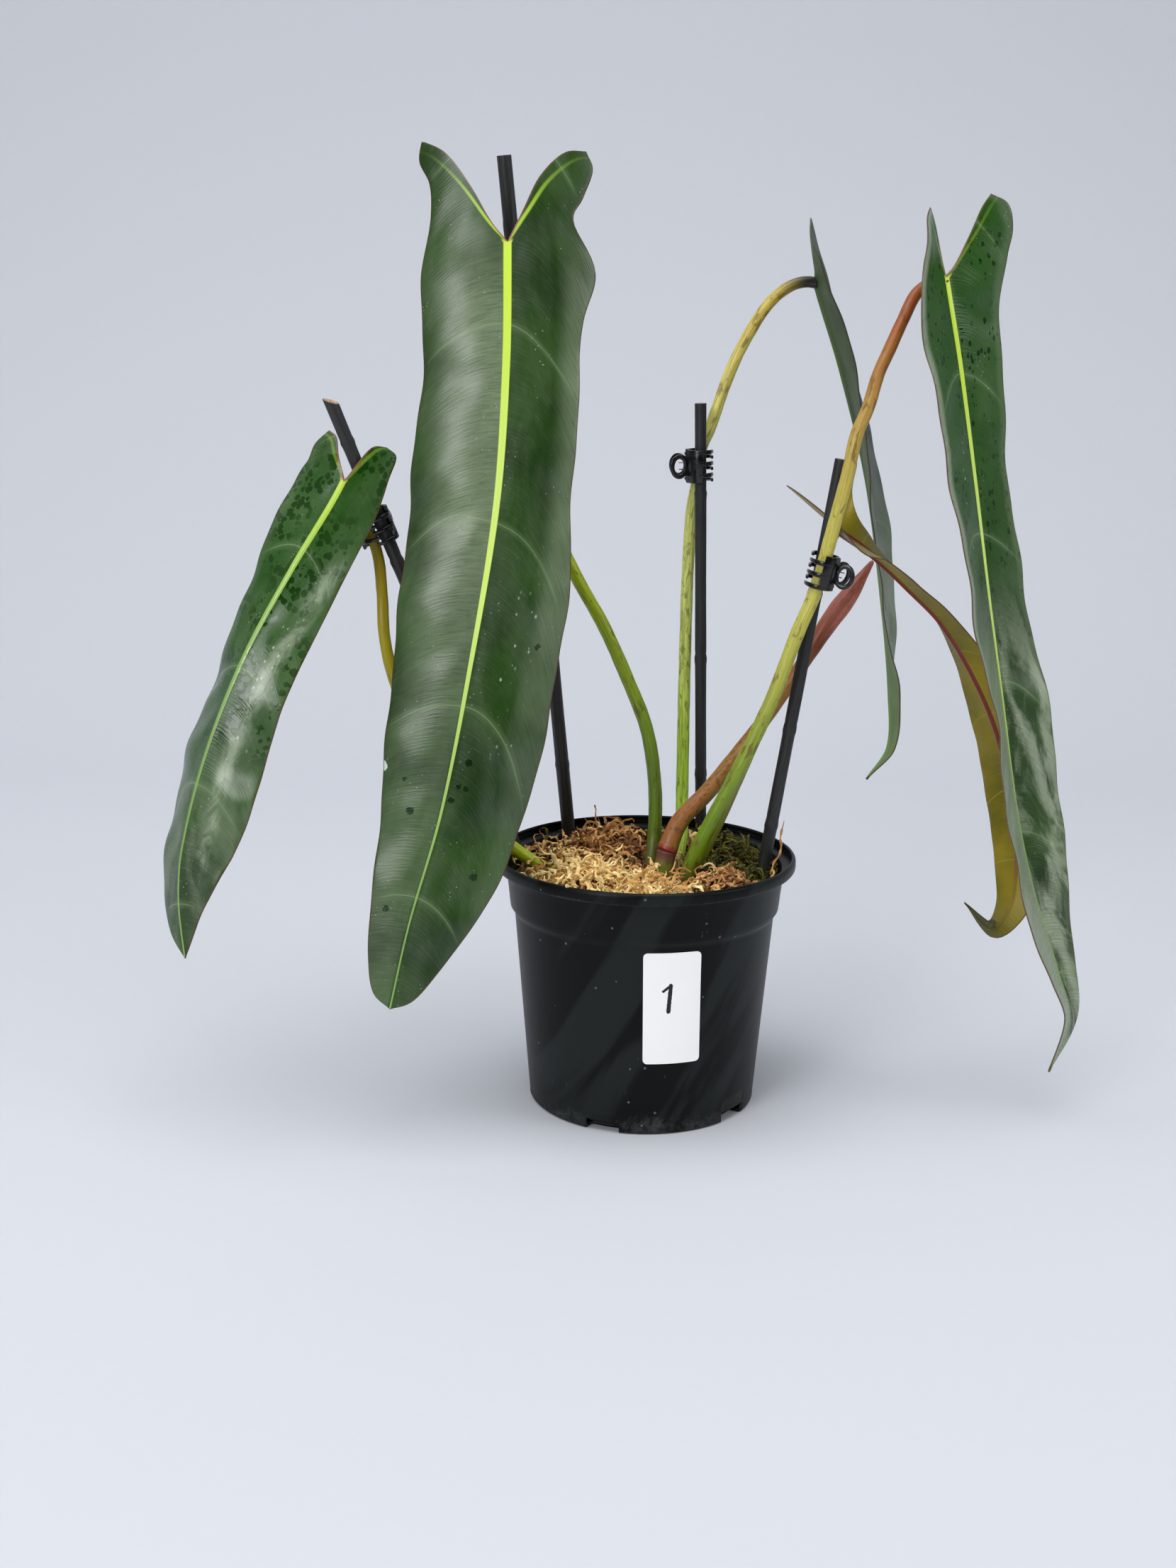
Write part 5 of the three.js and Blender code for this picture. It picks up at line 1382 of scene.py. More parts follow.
def blade_points(blade, grid, side):
    """Points beside the spine: spine + across x side x away x cos(lift) + up x away x sin(lift), where the
    lift is the fold plus the curl towards the margin, and up is the facing made square to the spine."""
    spine = np.array(blade["spine"], float)
    reach = distances(spine)
    stations = (reach - reach[1]) / (reach[-1] - reach[1])
    u = np.maximum(grid[..., 0] / blade["length"], stations[0])
    away = grid[..., 1]
    tick = 0.002
    ahead = track(stations, spine, np.minimum(u + tick, 1))
    behind = track(stations, spine, np.maximum(u - tick, stations[0]))
    along = unit(ahead - behind)
    turn = np.radians(track(stations, blade["facing"], u))
    front = np.stack([np.sin(turn), -np.cos(turn), 0 * turn], -1)
    up = unit(front - along * (front * along).sum(-1, keepdims=True))
    lift = np.radians(track(stations, blade["fold"][side], u) + blade["curl"] * away / CURL_REACH)
    return (track(stations, spine, u) + np.cross(up, along) * (side * away * np.cos(lift))[..., None]
            + up * (away * np.sin(lift))[..., None])


def blade_sheet(blade):
    """Both halves of a blade as one sheet whose corners meet on the spine: a table of each corner's place and
    marks, quads, triangles, and the edges of its border in turn."""
    number = np.arange(2 * (LOBE_ROWS + BLADE_ROWS + 1) * COLUMNS).reshape(2, -1, COLUMNS)
    number[:, 0, :] = number[:, 0, :1]
    number[:, -1, :] = number[0, -1, 0]
    number[1, LOBE_ROWS:-1, 0] = number[0, LOBE_ROWS:-1, 0]
    table, quads, triangles, edges = [], [], [], []
    for n, side in zip(number, (-1, 1)):
        grid, core, rim = blade_grid(blade, side)
        marks = np.stack([grid[..., 0], side * grid[..., 1], core, rim], -1)
        table.append(np.concatenate([blade_points(blade, grid, side), marks], -1).reshape(-1, 7))
        first = np.stack([n[0, :-1], n[1, :-1], n[1, 1:]], -1)
        last = np.stack([n[-2, :-1], n[-1, :-1], n[-2, 1:]], -1)
        outer = np.stack([n[:-1, -1], n[1:, -1]], 1)
        inner = np.stack([n[1:LOBE_ROWS + 1, 0], n[:LOBE_ROWS, 0]], 1)
        quads.append(sheet_quads(n[1:-1].T)[:, ::side])
        triangles.append(np.vstack([first, last])[:, ::side])
        edges.append(np.vstack([outer, inner])[:, ::side])
    return only_used(*(np.vstack(part) for part in (table, quads, triangles, edges)))


def normals_of(corners, quads, triangles):
    """The direction of the surface at each corner: the sum of the crosses of the diagonals of its faces."""
    total = np.zeros_like(corners)
    for faces in (quads, triangles):
        first, second, third, last = (corners[faces[:, k]] for k in (0, 1, 2, -1))
        cross = np.cross(third - first, last - second)
        for k in range(faces.shape[1]):
            np.add.at(total, faces[:, k], cross)
    return unit(total)


def leaf_piece(name, look, material):
    """A blade as an upper and a lower sheet joined at the margin. Both start from the same surface, which
    waves towards the margin. The sheets part by the leaf's thickness, thinner at the margin, and the lower
    one bulges under the midrib."""
    length = BLADES[name]["length"]
    wave, wave_length, phase, dimple = WAVES[name]
    table, quads, triangles, edges = blade_sheet(BLADES[name])
    corners, marks = table[:, :3], dict(zip(BLADE_MARKS, table[:, 3:].T))
    along, away, core, rim = marks.values()
    turn = 2 * math.pi * along / wave_length + phase * np.sign(away)
    swing = wave * look.wave * smoothstep(4, 24, np.abs(away)) * (np.sin(turn) + 0.4 * np.sin(2.3 * turn))
    quilt = along - 0.02 * away**2
    pillow = dimple * (np.sin(quilt / 2.9) + np.sin(quilt / 4.3 + away / 9)) * smoothstep(2, 10, core)
    swing = (swing + pillow * smoothstep(0, 6, rim)) * smoothstep(length, length * 0.9, along)
    corners = corners + normals_of(corners, quads, triangles) * swing[:, None]
    up = normals_of(corners, quads, triangles)
    half = look.thickness / 2 * (0.35 + 0.65 * np.sqrt(1 - (1 - np.clip(rim / 1.2, 0, 1)) ** 2))
    share = np.clip(along / length, 0, 1)
    half_rib = look.midrib_width / 2 * (1 - 0.8 * share)
    crown = np.exp(-((core / half_rib) ** 2)) * smoothstep(-6, 2, along)
    above = half + 0.22 * crown
    below = half + 1.5 * (1 - 0.75 * share) * crown
    count = len(corners)
    start, end = edges.T
    shell = Shell()
    shell.add(
        np.vstack([corners + up * above[:, None], corners - up * below[:, None]]),
        np.vstack([quads, quads[:, ::-1] + count, np.stack([end, start, start + count, end + count], 1)]),
        np.vstack([triangles, triangles[:, ::-1] + count]),
        under=np.repeat([0.0, 1.0], count), **{mark: np.tile(value, 2) for mark, value in marks.items()},
    )
    place_piece(shell.piece(f"blade_{name}", material, 60), [f"leaf_{name}"])


def cane_line(name):
    """Where a cane meets the moss, and its direction."""
    foot, tip = np.array(CANES[name]["foot"], float), np.array(CANES[name]["tip"], float)
    return foot, unit(tip - foot)


def cane_piece(name, material):
    """A bamboo cane: a round limb with swollen joints, closed at its foot. Its top rim turns in to a short
    hollow, and an oblique cut slants every ring near the top."""
    cane = CANES[name]
    foot, along = cane_line(name)
    bottom = foot - along * cane["depth"]
    length = np.linalg.norm(cane["tip"] - bottom)
    reach = np.concatenate([np.linspace(0, length - 8, 150), np.linspace(length - 7.5, length - 0.2, 8)])
    joints = np.arange(38, length - 12, 58)
    joints = joints + np.random.default_rng(sum(map(ord, name))).uniform(-9, 9, len(joints))
    past = reach - joints[:, None]
    swell = (0.28 * np.exp(-((past / 1.5) ** 2)) - 0.16 * np.exp(-(((past - 2.2) / 0.7) ** 2))).sum(0)
    radius = cane["radius"] * 0.96 + swell + 0.04 * np.sin(reach * 0.11 + joints[0])
    reach = np.concatenate([reach, [length, length, length - 0.3, length - 5, length - 5.2]])
    radius = np.concatenate([radius, cane["radius"] * np.array([0.93, 0.6, 0.48, 0.44, 0.1])])
    cut = np.concatenate([np.zeros(len(reach) - 5), [0.35, 1, 1, 0.6, 0.3]])
    # Across is the x axis in the turn that brings the upright onto the cane's line: the cut faces as it does
    axis, x_axis = np.cross((0, 0, 1), along), np.array([1.0, 0, 0])
    across = x_axis * along[2] + np.cross(axis, x_axis) + axis * axis[0] / (1 + along[2])
    section = round_ring(20) * radius[:, None, None]
    near_top = smoothstep(length - 7, length - 1, reach)[:, None]
    lengthwise = reach[:, None] - cane["slant"] * section[..., 0] * near_top
    rings = (bottom + along * lengthwise[..., None] + across * section[..., :1]
             + np.cross(along, across) * section[..., 1:])
    shell = Shell()
    shell.tube(rings, skin=skin_of(section, reach), cut=cut * (1.0 if cane["slant"] else 0.25))
    place_piece(shell.piece(f"cane_{name}", material, 50), [f"stake_{name}"])


def clip_axes(name):
    """A clip's origin and its three axes: z runs along its cane, x is the nose direction made square to it,
    and both lean a little about y."""
    clip = CLIPS[name]
    foot, up = cane_line(name)
    on_cane = foot + up * (clip["height"] - foot[2]) / up[2]
    nose = np.array(clip["nose"], float)
    nose = unit(nose - up * (nose @ up))
    across = np.cross(up, nose)
    lean = math.radians(clip["lean"])
    nose, up = (v * math.cos(lean) + np.cross(across, v) * math.sin(lean) for v in (nose, up))
    origin = on_cane - across * clip["stake_side"] * CLIP["half_pair"] - nose * CLIP["hold"]
    return origin, np.stack([nose, across, up])


def claw_line(side, share_end, steps):
    """The middle line and half thickness of a claw: halfway between its outer and inner faces."""
    t = np.linspace(0, share_end, steps)
    outer, inner = (track(np.linspace(0, 1, 7), CLIP[face], t) for face in ("outer", "inner"))
    middle = (outer + inner) / 2 * (1, side)
    return np.pad(middle, ((0, 0), (0, 1))), np.linalg.norm(outer - inner, axis=1) / 2


def jaw_parts(side):
    """A jaw as swept sections, in the clip's axes: the curved plate, three claws, two eyes round the pin
    with their webs, the finger ring and its root."""
    c = CLIP
    sideways, upright = np.array([0.0, 1.0, 0.0]), np.array([0.0, 0.0, 1.0])
    parts = []

    def band(centres, half, half_height, rounding, lift=0.0):
        section = box_ring(half, half_height + 0 * half, np.minimum(rounding, half * 0.9))
        parts.append(sweep(centres + upright * lift, section, upright))

    band(*claw_line(side, c["plate_share"], 16), c["height"] / 2, 0.35)
    middle, half = claw_line(side, 1.0, 34)
    half_tooth = c["tooth_width"] / 2 * (1 - 0.25 * smoothstep(0.6, 1.0, np.linspace(0, 1, 34)))
    first = -2.5 if side > 0 else -1.5
    for k in range(c["teeth"]):
        band(middle, half, half_tooth, 0.4, (first + 2 * k) * c["tooth_pitch"])
    angles = np.linspace(0, 2 * math.pi, 25)
    eye = np.stack([np.cos(angles), np.sin(angles), 0 * angles], 1) * (c["eye_inner"] + c["eye_outer"]) / 2
    half_eye = np.full(25, (c["eye_outer"] - c["eye_inner"]) / 2)
    web = np.linspace((0.15, 1.2, 0), (0.5, 4.3, 0), 6) * (1, side, 1)
    for low in (c["eye_inside"][side], -c["eye_inside"][side] - c["eye_width"]):
        lift = low + c["eye_width"] / 2
        band(eye, half_eye, c["eye_width"] / 2, 0.15, lift)
        band(web, np.linspace(0.95, 0.8, 6), c["eye_width"] / 2, 0.15, lift)
    angles = np.linspace(0, 2 * math.pi, 49)
    half_length, half_height = ((c[n] - c["ring_band"]) / 2 for n in ("ring_length", "ring_height"))
    loop = np.stack([half_length * np.cos(angles) - c["ring_length"] / 2 - c["ring_start"], 0 * angles,
                     half_height * np.sin(angles)], 1)
    root = np.linspace((-1 - c["root_length"] / 2, 0, 0), (-1 + c["root_length"] / 2, 0, 0), 8)
    turn = -math.radians(c["handle_angle"]) * side
    spin = np.array([[math.cos(turn), math.sin(turn), 0], [-math.sin(turn), math.cos(turn), 0], [0, 0, 1]])
    for route, half_width, rounding in ((loop, c["ring_band"] / 2, 0.45), (root, c["root_height"] / 2, 0.3)):
        handle = sweep(route, box_ring(half_width, c["ring_thickness"] / 2, rounding), sideways)
        parts.append((handle + (0, c["handle_offset"] * side, 0)) @ spin)
    return parts


def spring_route(share_from, share_to, steps):
    """A helix about the pin: the angle grows along it, and the height with the angle."""
    half = CLIP["spring_turns"] * CLIP["spring_pitch"] / 2
    leg_angle = math.radians(CLIP["leg_angle"])
    t = np.linspace(share_from, share_to, steps)
    angle = leg_angle - math.pi / 2 + (2 * math.pi * CLIP["spring_turns"] - 2 * leg_angle - math.pi) * t
    return turned(CLIP["spring_radius"], angle, half * (2 * t - 1))


def spring_wire(side, whole):
    """The middle line of the spring: its whole coil or the end of it, and the straight leg that leaves it on
    a side in its direction there."""
    leg_share = 1 if side > 0 else 0
    if whole:
        coil = spring_route(1 - leg_share, leg_share, 90)
    else:
        coil = spring_route(abs(leg_share - 0.08), leg_share, 12)
    end = coil[-1]
    angle = math.atan2(end[1], end[0])
    along = np.array([-math.sin(angle), math.cos(angle), 0]) * side
    centres = np.vstack([coil, np.linspace(end, end + along * CLIP["leg_length"], 8)[1:]])
    return centres[::-1] if whole and side < 0 else centres


def clip_pieces(name, plastic, steel):
    """The four pieces of a clip, set on its cane, and the spring's leg that goes with the moving jaw."""
    origin, axes = clip_axes(name)

    def add(made_name, parts, material, slot, smooth_angle, node_part, stands_for_it=True, **marks):
        shell = Shell()
        for rings in parts:
            shell.tube(origin + rings @ axes, **marks)
        node = f"clip_{name}_{node_part}"
        made = shell.piece(made_name, material, smooth_angle)
        place_piece(made, [node] if stands_for_it else [], BODY_OF_NODE[node])

    stake_side, moving_jaw = CLIPS[name]["stake_side"], CLIPS[name]["moving"]
    for which, side in (("stake", stake_side), ("petiole", -stake_side)):
        add(f"claw_{name}_{which}", jaw_parts(side), plastic, "clip_plastic", 50, f"{which}_jaw")
    half = CLIP["height"] / 2 - 0.3
    centres = np.linspace((0, 0, -half), (0, 0, half), 20)
    centres, radius = with_domes(centres, np.full(20, CLIP["pin_radius"]), (0.45, 0.45))
    section = round_ring(16) * radius[:, None, None]
    pin = sweep(centres, section, np.array([1.0, 0.0, 0.0]))
    add(f"pin_{name}", [pin], steel, "clip_steel", 40, "pin", skin=skin_of(section, centres[:, 2]))
    moving = stake_side if moving_jaw == "stake" else -stake_side
    section = round_ring(8) * CLIP["wire"]
    for made_name, side, node_part, whole in ((f"spring_{name}", -moving, "spring", True),
                                              (f"spring_leg_{name}", moving, f"{moving_jaw}_jaw", False)):
        centres = spring_wire(side, whole)
        skin = skin_of(section, np.linspace(0, 30, len(centres)))
        wire = sweep(centres, section, np.array([0.0, 0.2, 1.0]))
        add(made_name, [wire], steel, "clip_steel", 60, node_part, whole, skin=skin)


def a_colour(name, description, *screen_colour):
    return bpy.props.FloatVectorProperty(name=name, description=description, default=paint(*screen_colour),
                                         size=4, min=0, max=1, subtype="COLOR")


def a_share(name, description, value, high=1.0):
    return bpy.props.FloatProperty(name=name, description=description, default=value, min=0, max=high,
                                   subtype="FACTOR")


def a_power(name, description, value):
    return bpy.props.FloatProperty(name=name, description=description, default=value, min=0, max=200,
                                   unit="POWER")


def a_length(name, description, value, low, high):
    return bpy.props.FloatProperty(name=name, description=f"{description}, in millimetres", default=value,
                                   min=low, max=high)


def a_count(name, description, value):
    return bpy.props.IntProperty(name=name, description=description, default=value, min=10, max=1600)


class PotLook(bpy.types.PropertyGroup):
    """The pot's finish."""
    plastic: a_colour("Plastic", "Colour of the clean plastic", 2, 3, 3)
    # Painted reflection in broad slanting bands
    sheen: a_colour("Sheen", "Broad greyer parts of the plastic", 24, 30, 29)
    dust_colour: a_colour("Dust colour", "Colour of dust and scuffs", 120, 122, 124)
    dust: a_share("Dust", "How dusty the pot's wall is", 0.12)
    roughness: a_share("Roughness", "Roughness of the clean plastic", 0.36)


class LabelLook(bpy.types.PropertyGroup):
    """The sticker's finish."""
    paper: a_colour("Paper", "Colour of the sticker", 255, 254, 253)
    ink: a_colour("Ink", "Colour of the handwriting", 16, 16, 20)


class MossLook(bpy.types.PropertyGroup):
    """The moss: its colours and how many strands it has."""
    cream: a_colour("Cream", "Palest strands", 255, 238, 172)
    gold: a_colour("Gold", "Light tint of the brown strands", 240, 188, 122)
    tan: a_colour("Tan", "Dried strands", 226, 172, 96)
    # Also the painted shade low among the pale strands
    brown: a_colour("Brown", "Older strands", 140, 80, 34)
    deep: a_colour("Deep", "Moss in shadow", 44, 26, 12)
    green: a_colour("Green", "Living strands", 112, 108, 38)
    green_deep: a_colour("Deep green", "Living strands in shadow", 44, 44, 12)
    pale_strands: a_count("Pale strands", "Number of cream and tan strands", 640)
    brown_strands: a_count("Brown strands", "Number of brown strands", 440)
    green_strands: a_count("Green strands", "Number of green strands", 600)
    seed: bpy.props.IntProperty(name="Seed", description="Chooses another arrangement of strands", default=7,
                                min=0)


class LeafLook(bpy.types.PropertyGroup):
    """The blades: their colours, waves, ribs and midrib."""
    dark_green: a_colour("Dark green", "Shaded green of the upper side", 16, 46, 4)
    # Painted shade: the shaded top of the back blade
    painted_shade_green: a_colour("Night green", "Darkest green, near the top of the back leaf", 16, 24, 8)
    # Painted sheen: a broad pale reflection laid into the upper side's colour
    haze: a_colour("Haze", "Broad dull sheen of the upper side", 140, 156, 124)
    mid_green: a_colour("Mid green", "Lighter green of the upper side", 34, 68, 10)
    vivid_green: a_colour("Vivid green", "Clearer green of the upper part of a blade", 34, 88, 10)
    # Painted sheen on the tops of the fine ribs
    rib_green: a_colour("Rib green", "Tops of the fine ribs", 66, 94, 40)
    wet_green: a_colour("Wet green", "Colour under drops", 8, 32, 12)
    # Partly a dried film, partly painted grey sheen
    film: a_colour("Film", "Dried film on the upper side", 112, 126, 94)
    # Painted reflection of the bright sky, also the colour of the painted light band
    glare: a_colour("Glare", "Cloudy bright parts of a blade", 158, 170, 144)
    speck: a_colour("Specks", "Bright specks of lime", 196, 206, 192)
    vein: a_colour("Veins", "Pale side veins", 128, 152, 108)
    midrib: a_colour("Midrib", "Midrib near the sinus", 202, 232, 70)
    lobe_vein: a_colour("Lobe vein", "Thin veins beside the sinus", 168, 204, 64)
    midrib_pale: a_colour("Pale midrib", "Midrib at mid length", 208, 234, 116)
    midrib_tip: a_colour("Midrib tip", "Midrib near the tip", 128, 164, 84)
    margin: a_colour("Margin", "Thin line round the blade", 88, 44, 28)
    sinus: a_colour("Sinus", "Edge of the sinus", 150, 92, 78)
    underside: a_colour("Underside", "Lower side", 84, 112, 58)
    underside_pale: a_colour("Pale underside", "Paler patches of the lower side", 116, 140, 84)
    young_green: a_colour("Young green", "Upper side of the young blade", 72, 108, 36)
    young_olive: a_colour("Young olive", "Lower side of the young blade", 108, 100, 8)
    young_gold: a_colour("Young gold", "Thin parts of the young blade", 146, 128, 12)
    young_tip: a_colour("Young tip", "Curled tip of the young blade", 52, 58, 16)
    young_vein: a_colour("Young veins", "Side veins of the young blade", 176, 176, 84)
    young_midrib: a_colour("Young midrib", "Midrib of the young blade", 116, 34, 18)
    thickness: a_length("Thickness", "Thickness of a blade", 0.7, 0.2, 0.9)
    midrib_width: a_length("Midrib width", "Width of the midrib at the sinus", 3.5, 1, 5)
    wave: a_share("Waves", "Height of the waves towards the margin", 1.0, 2.0)
    rib_depth: a_share("Rib depth", "Strength of the fine ribs", 0.3)


class StalkLook(bpy.types.PropertyGroup):
    """The stalks, crown and shoot."""
    blotches: a_share("Blotches", "Strength of the dark blotches", 0.62)
    foot: a_colour("Foot", "Tint of the stalks where they leave the crown", 84, 46, 54)


class CaneLook(bpy.types.PropertyGroup):
    """The canes' finish."""
    black: a_colour("Black", "The dye", 20, 20, 22)
    sheen: a_colour("Sheen", "Worn grain", 52, 52, 54)
    worn: a_colour("Worn", "Bamboo that shows through", 62, 50, 38)
    cut: a_colour("Cut", "Fresh cut", 214, 178, 140)
    cut_dark: a_colour("Dark cut", "Pith in the cut", 140, 98, 70)


class ClipLook(bpy.types.PropertyGroup):
    """The clips' finish."""
    plastic: a_colour("Plastic", "Colour of the clips", 12, 13, 15)
    steel: a_colour("Steel", "Colour of pins and springs", 176, 178, 182)
    roughness: a_share("Roughness", "Roughness of the plastic", 0.16)


class StageLook(bpy.types.PropertyGroup):
    """The studio: its floor and its light."""
    floor: a_colour("Floor", "Colour of the floor and backdrop", 203, 206, 213)
    surround: a_share("Surround", "Strength of the light from all round", 0.62, 4.0)
    front_share: a_share("Front share", "How much of it comes from behind the camera", 0.1)
    backdrop: a_share("Backdrop", "Strength of the surround where the camera sees it", 0.72)
    mirrored: a_share("Mirrored", "How much of it shows in glossy faces", 0.3)
    top_light: a_power("Top light", "Power of the light above", 24)
    front_light: a_power("Front light", "Power of the light from the front left", 15)
    side_light: a_power("Side light", "Power of the light from the right", 6)


class PlantSettings(bpy.types.PropertyGroup):
    """Everything a user may change."""
    pot: bpy.props.PointerProperty(type=PotLook)
    label: bpy.props.PointerProperty(type=LabelLook)
    moss: bpy.props.PointerProperty(type=MossLook)
    leaf: bpy.props.PointerProperty(type=LeafLook)
    stalk: bpy.props.PointerProperty(type=StalkLook)
    cane: bpy.props.PointerProperty(type=CaneLook)
    clip: bpy.props.PointerProperty(type=ClipLook)
    stage: bpy.props.PointerProperty(type=StageLook)


def put_in_scene(name, data, x_axis, y_axis, z_axis, place):
    """Makes an object whose three axes and place, in metres, are the columns of its matrix."""
    made = bpy.data.objects.new(name, data)
    matrix = np.eye(4)
    matrix[:3] = np.stack([x_axis, y_axis, z_axis, place], 1)
    made.matrix_world = Matrix(matrix.tolist())
    bpy.context.scene.collection.objects.link(made)
    return made


def stage_camera():
    """The photograph's camera. It looks down by its pitch, and leans by its roll."""
    pitch, roll = math.radians(CAMERA["pitch"]), math.radians(CAMERA["roll"])
    forward = np.array([0, math.cos(pitch), -math.sin(pitch)])
    level = np.array([1.0, 0, 0])
    above = np.cross(level, forward)
    right = math.cos(roll) * level + math.sin(roll) * above
    up = -math.sin(roll) * level + math.cos(roll) * above
    lens = bpy.data.cameras.new("camera")
    lens.sensor_width = CAMERA["sensor"]
    lens.lens = CAMERA["focal_pixels"] / CAMERA["frame_height"] * CAMERA["sensor"]
    lens.clip_start, lens.clip_end = 0.01, 50
    place = np.array(CAMERA["place"]) * MM
    bpy.context.scene.camera = put_in_scene("camera", lens, right, up, -forward, place)


def stage_backdrop(look):
    """A floor that bends up into the backdrop in a quarter circle."""
    w = Surface("backdrop paper")
    grain = w.noise(w.object_place(), 0.2, 4.0)
    paper = w.mix(grain * 0.04, look.floor, (0.4, 0.42, 0.46, 1))
    material = w.finish(paper, 0.85, Specular_IOR_Level=0.2)
    bend, radius = np.radians(np.linspace(0, 90, 24)), 700
    depth = np.concatenate([np.linspace(-3000, 600, 30), 600 + radius * np.sin(bend)[1:], [1300, 1300]])
    height = np.concatenate([np.zeros(30), radius * (1 - np.cos(bend))[1:], [1600, 3200]])
    width = np.linspace(-3200, 3200, 24)
    grid = np.stack(np.broadcast_arrays(width, depth[:, None], height[:, None]), -1)
    shell = Shell()
    shell.add(grid, sheet_quads(np.arange(grid[..., 0].size).reshape(grid.shape[:2])))
    shell.piece("backdrop", material, 80)


def stage_surround(look):
    """The light from all round: less from behind the camera than from above and behind the plant, less in
    glossy faces, and an even pale ground where the camera sees it."""
    world = bpy.data.worlds.new("surround")
    world.use_nodes = True
    w = Wiring(world.node_tree)
    toward = w.node("TexCoord")["Generated"]
    front = w.step(w.part(toward, "Y"), -0.9, 0.1, look.front_share, 1.0)
    strength = w.most(front, w.step(w.part(toward, "Z"), 0.0, 0.7))
    ray = w.node("LightPath")
    lit = strength * w.step(ray["Is Glossy Ray"], 0.0, 1.0, look.surround, look.surround * look.mirrored)
    inputs = world.node_tree.nodes["Background"].inputs
    w.put((0.95, 0.97, 1.0, 1), inputs["Color"])
    w.put(w.step(ray["Is Camera Ray"], 0.0, 1.0, lit, look.backdrop), inputs["Strength"])
    bpy.context.scene.world = world


def stage_lights(look):
    """Three round lamps: name, place, what each is aimed at, its size and its power."""
    for name, place, aim, size, energy in (
        ("top light", (-0.2, -0.3, 2.0), (0, 0, 0.1), 1.8, look.top_light),
        ("front light", (-1.05, -1.55, 0.95), (0, 0, 0.2), 0.9, look.front_light),
        ("side light", (1.5, -0.6, 0.9), (0, 0, 0.2), 0.8, look.side_light),
    ):
        lamp = bpy.data.lights.new(name, "AREA")
        lamp.shape = "DISK"
        lamp.size = size
        lamp.energy = energy
        direction = unit(np.array(aim) - np.array(place))
        side = unit(np.cross(direction, (0.01, 1, 0.02)))
        put_in_scene(name, lamp, side, np.cross(-direction, side), -direction, place)


class Maker:
    """Runs an operator's make function with the settings that its look names."""

    def execute(self, context):
        self.make(getattr(context.scene.plant, self.look))
        return {"FINISHED"}


class PLANT_OT_stage(Maker, bpy.types.Operator):
    """Makes the camera, the pale floor with its backdrop, and the studio lights"""
    bl_idname = "plant.stage"
    bl_label = "Stage"
    look = "stage"

    def make(self, look):
        stage_camera()
        stage_backdrop(look)
        stage_surround(look)
        stage_lights(look)
        bpy.context.scene.view_settings.view_transform = "Standard"


class PLANT_OT_pot(Maker, bpy.types.Operator):
    """Makes the moulded nursery pot"""
    bl_idname = "plant.pot"
    bl_label = "Pot"
    look = "pot"

    def make(self, look):
        pot_piece(look)


class PLANT_OT_label(Maker, bpy.types.Operator):
    """Makes the numbered sticker on the pot"""
    bl_idname = "plant.label"
    bl_label = "Sticker"
    look = "label"

    def make(self, look):
        label_piece(look)


class PLANT_OT_moss(Maker, bpy.types.Operator):
    """Makes the bed of moss and its strands"""
    bl_idname = "plant.moss"
    bl_label = "Moss"
    look = "moss"

    def make(self, look):
        moss_bed(look)
        moss_strands(look)


class PLANT_OT_crown(Maker, bpy.types.Operator):
    """Makes the crown and the shoot that stands on it"""
    bl_idname = "plant.crown"
    bl_label = "Crown and shoot"
    look = "stalk"

    def make(self, look):
        def uneven(s):
            return 1 + 0.02 * np.sin(s * 0.9)

        def ringed(s):
            return 1 + 0.08 * np.exp(-((s / 2.2) ** 2)) + 0.012 * np.sin(s * 0.6)

        limb_piece("crown", STEM, stem_material(look), "stem", 28, 1.5, uneven, (1.0, 0.3))
        limb_piece("shoot", SHOOT, shoot_material(look), "new_shoot", 24, 1.5, ringed, (0.3, 1.6))


class PLANT_OT_stalks(Maker, bpy.types.Operator):
    """Makes the five leaf stalks"""
    bl_idname = "plant.stalks"
    bl_label = "Stalks"
    look = "stalk"

    def make(self, look):
        for number, (name, stalk) in enumerate(STALKS.items()):
            def uneven(s):
                return 1 + 0.015 * np.sin(s * 0.31 + number) + 0.01 * np.sin(s * 0.83 + 2 * number)

            material = stalk_material(name, look)
            limb_piece(f"stalk_{name}", stalk, material, f"petiole_{name}", 22, 1.6, uneven,
                       (1.0, 0.12), 0.96)


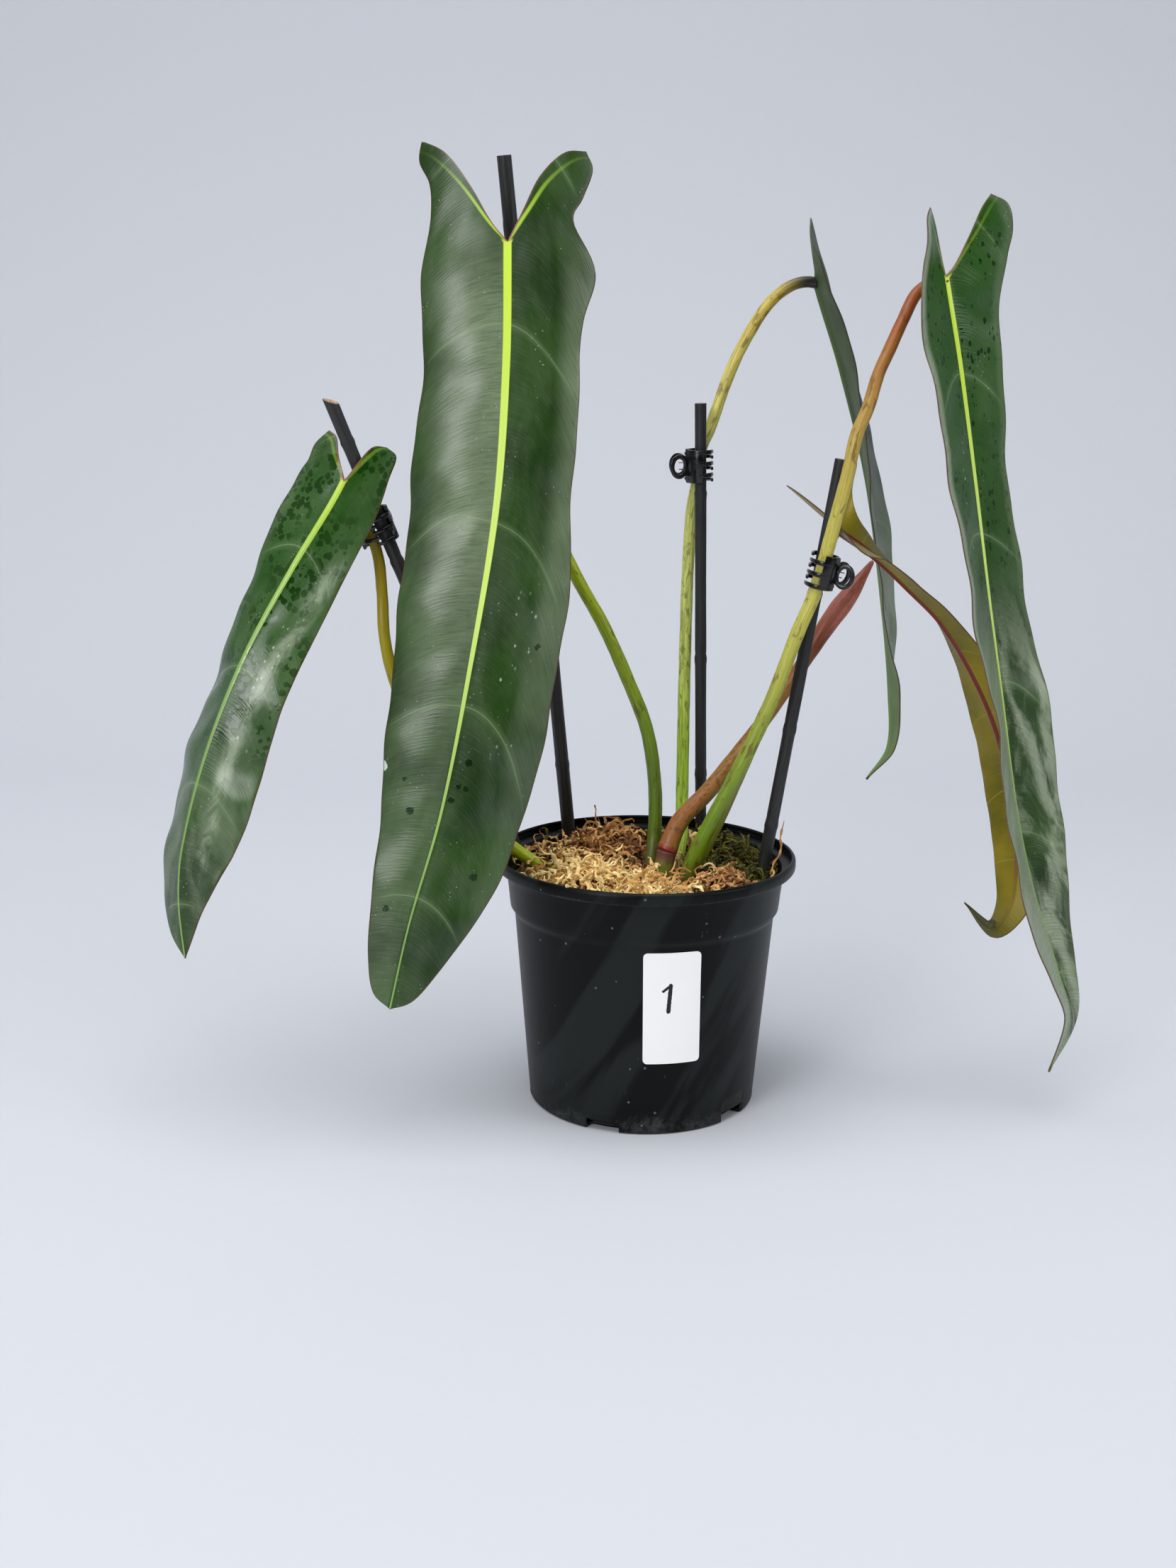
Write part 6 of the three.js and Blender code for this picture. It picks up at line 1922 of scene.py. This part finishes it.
class PLANT_OT_leaves(Maker, bpy.types.Operator):
    """Makes the five blades"""
    bl_idname = "plant.leaves"
    bl_label = "Leaves"
    look = "leaf"

    def make(self, look):
        for name, finish in LEAF_FINISH.items():
            leaf_piece(name, look, leaf_material(name, look, finish, BLADES[name]["length"]))
        leaf_piece("young", look, young_leaf_material(look, BLADES["young"]["length"]))


class PLANT_OT_canes(Maker, bpy.types.Operator):
    """Makes the four black canes"""
    bl_idname = "plant.canes"
    bl_label = "Canes"
    look = "cane"

    def make(self, look):
        material = cane_material(look)
        for name in CANES:
            cane_piece(name, material)


class PLANT_OT_clips(Maker, bpy.types.Operator):
    """Makes the four claw clips"""
    bl_idname = "plant.clips"
    bl_label = "Clips"
    look = "clip"

    def make(self, look):
        plastic, steel = clip_material(look), steel_material(look)
        for name in CLIPS:
            clip_pieces(name, plastic, steel)


class PLANT_PT_panel(bpy.types.Panel):
    """Lists the pieces and their settings"""
    bl_idname = "PLANT_PT_panel"
    bl_label = "Potted plant"
    bl_space_type = "VIEW_3D"
    bl_region_type = "UI"
    bl_category = "Plant"

    def draw(self, context):
        for operator in OPERATORS:
            box = self.layout.box()
            box.operator(operator.bl_idname)
            group = getattr(context.scene.plant, operator.look)
            for name in group.bl_rna.properties.keys():
                if name not in ("rna_type", "name"):
                    box.prop(group, name)


LOOKS = (PotLook, LabelLook, MossLook, LeafLook, StalkLook, CaneLook, ClipLook, StageLook, PlantSettings)
OPERATORS = (PLANT_OT_stage, PLANT_OT_pot, PLANT_OT_label, PLANT_OT_moss, PLANT_OT_crown, PLANT_OT_stalks,
             PLANT_OT_leaves, PLANT_OT_canes, PLANT_OT_clips)
CLASSES = (*LOOKS, *OPERATORS, PLANT_PT_panel)


def register():
    for made in CLASSES:
        bpy.utils.register_class(made)
    bpy.types.Scene.plant = bpy.props.PointerProperty(type=PlantSettings)


def unregister():
    del bpy.types.Scene.plant
    for made in reversed(CLASSES):
        bpy.utils.unregister_class(made)


def main():
    """Registers the add-on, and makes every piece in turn."""
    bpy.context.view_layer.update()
    register()
    for operator in OPERATORS:
        category, name = operator.bl_idname.split(".")
        getattr(getattr(bpy.ops, category), name)()


if __name__ == "__main__":
    main()
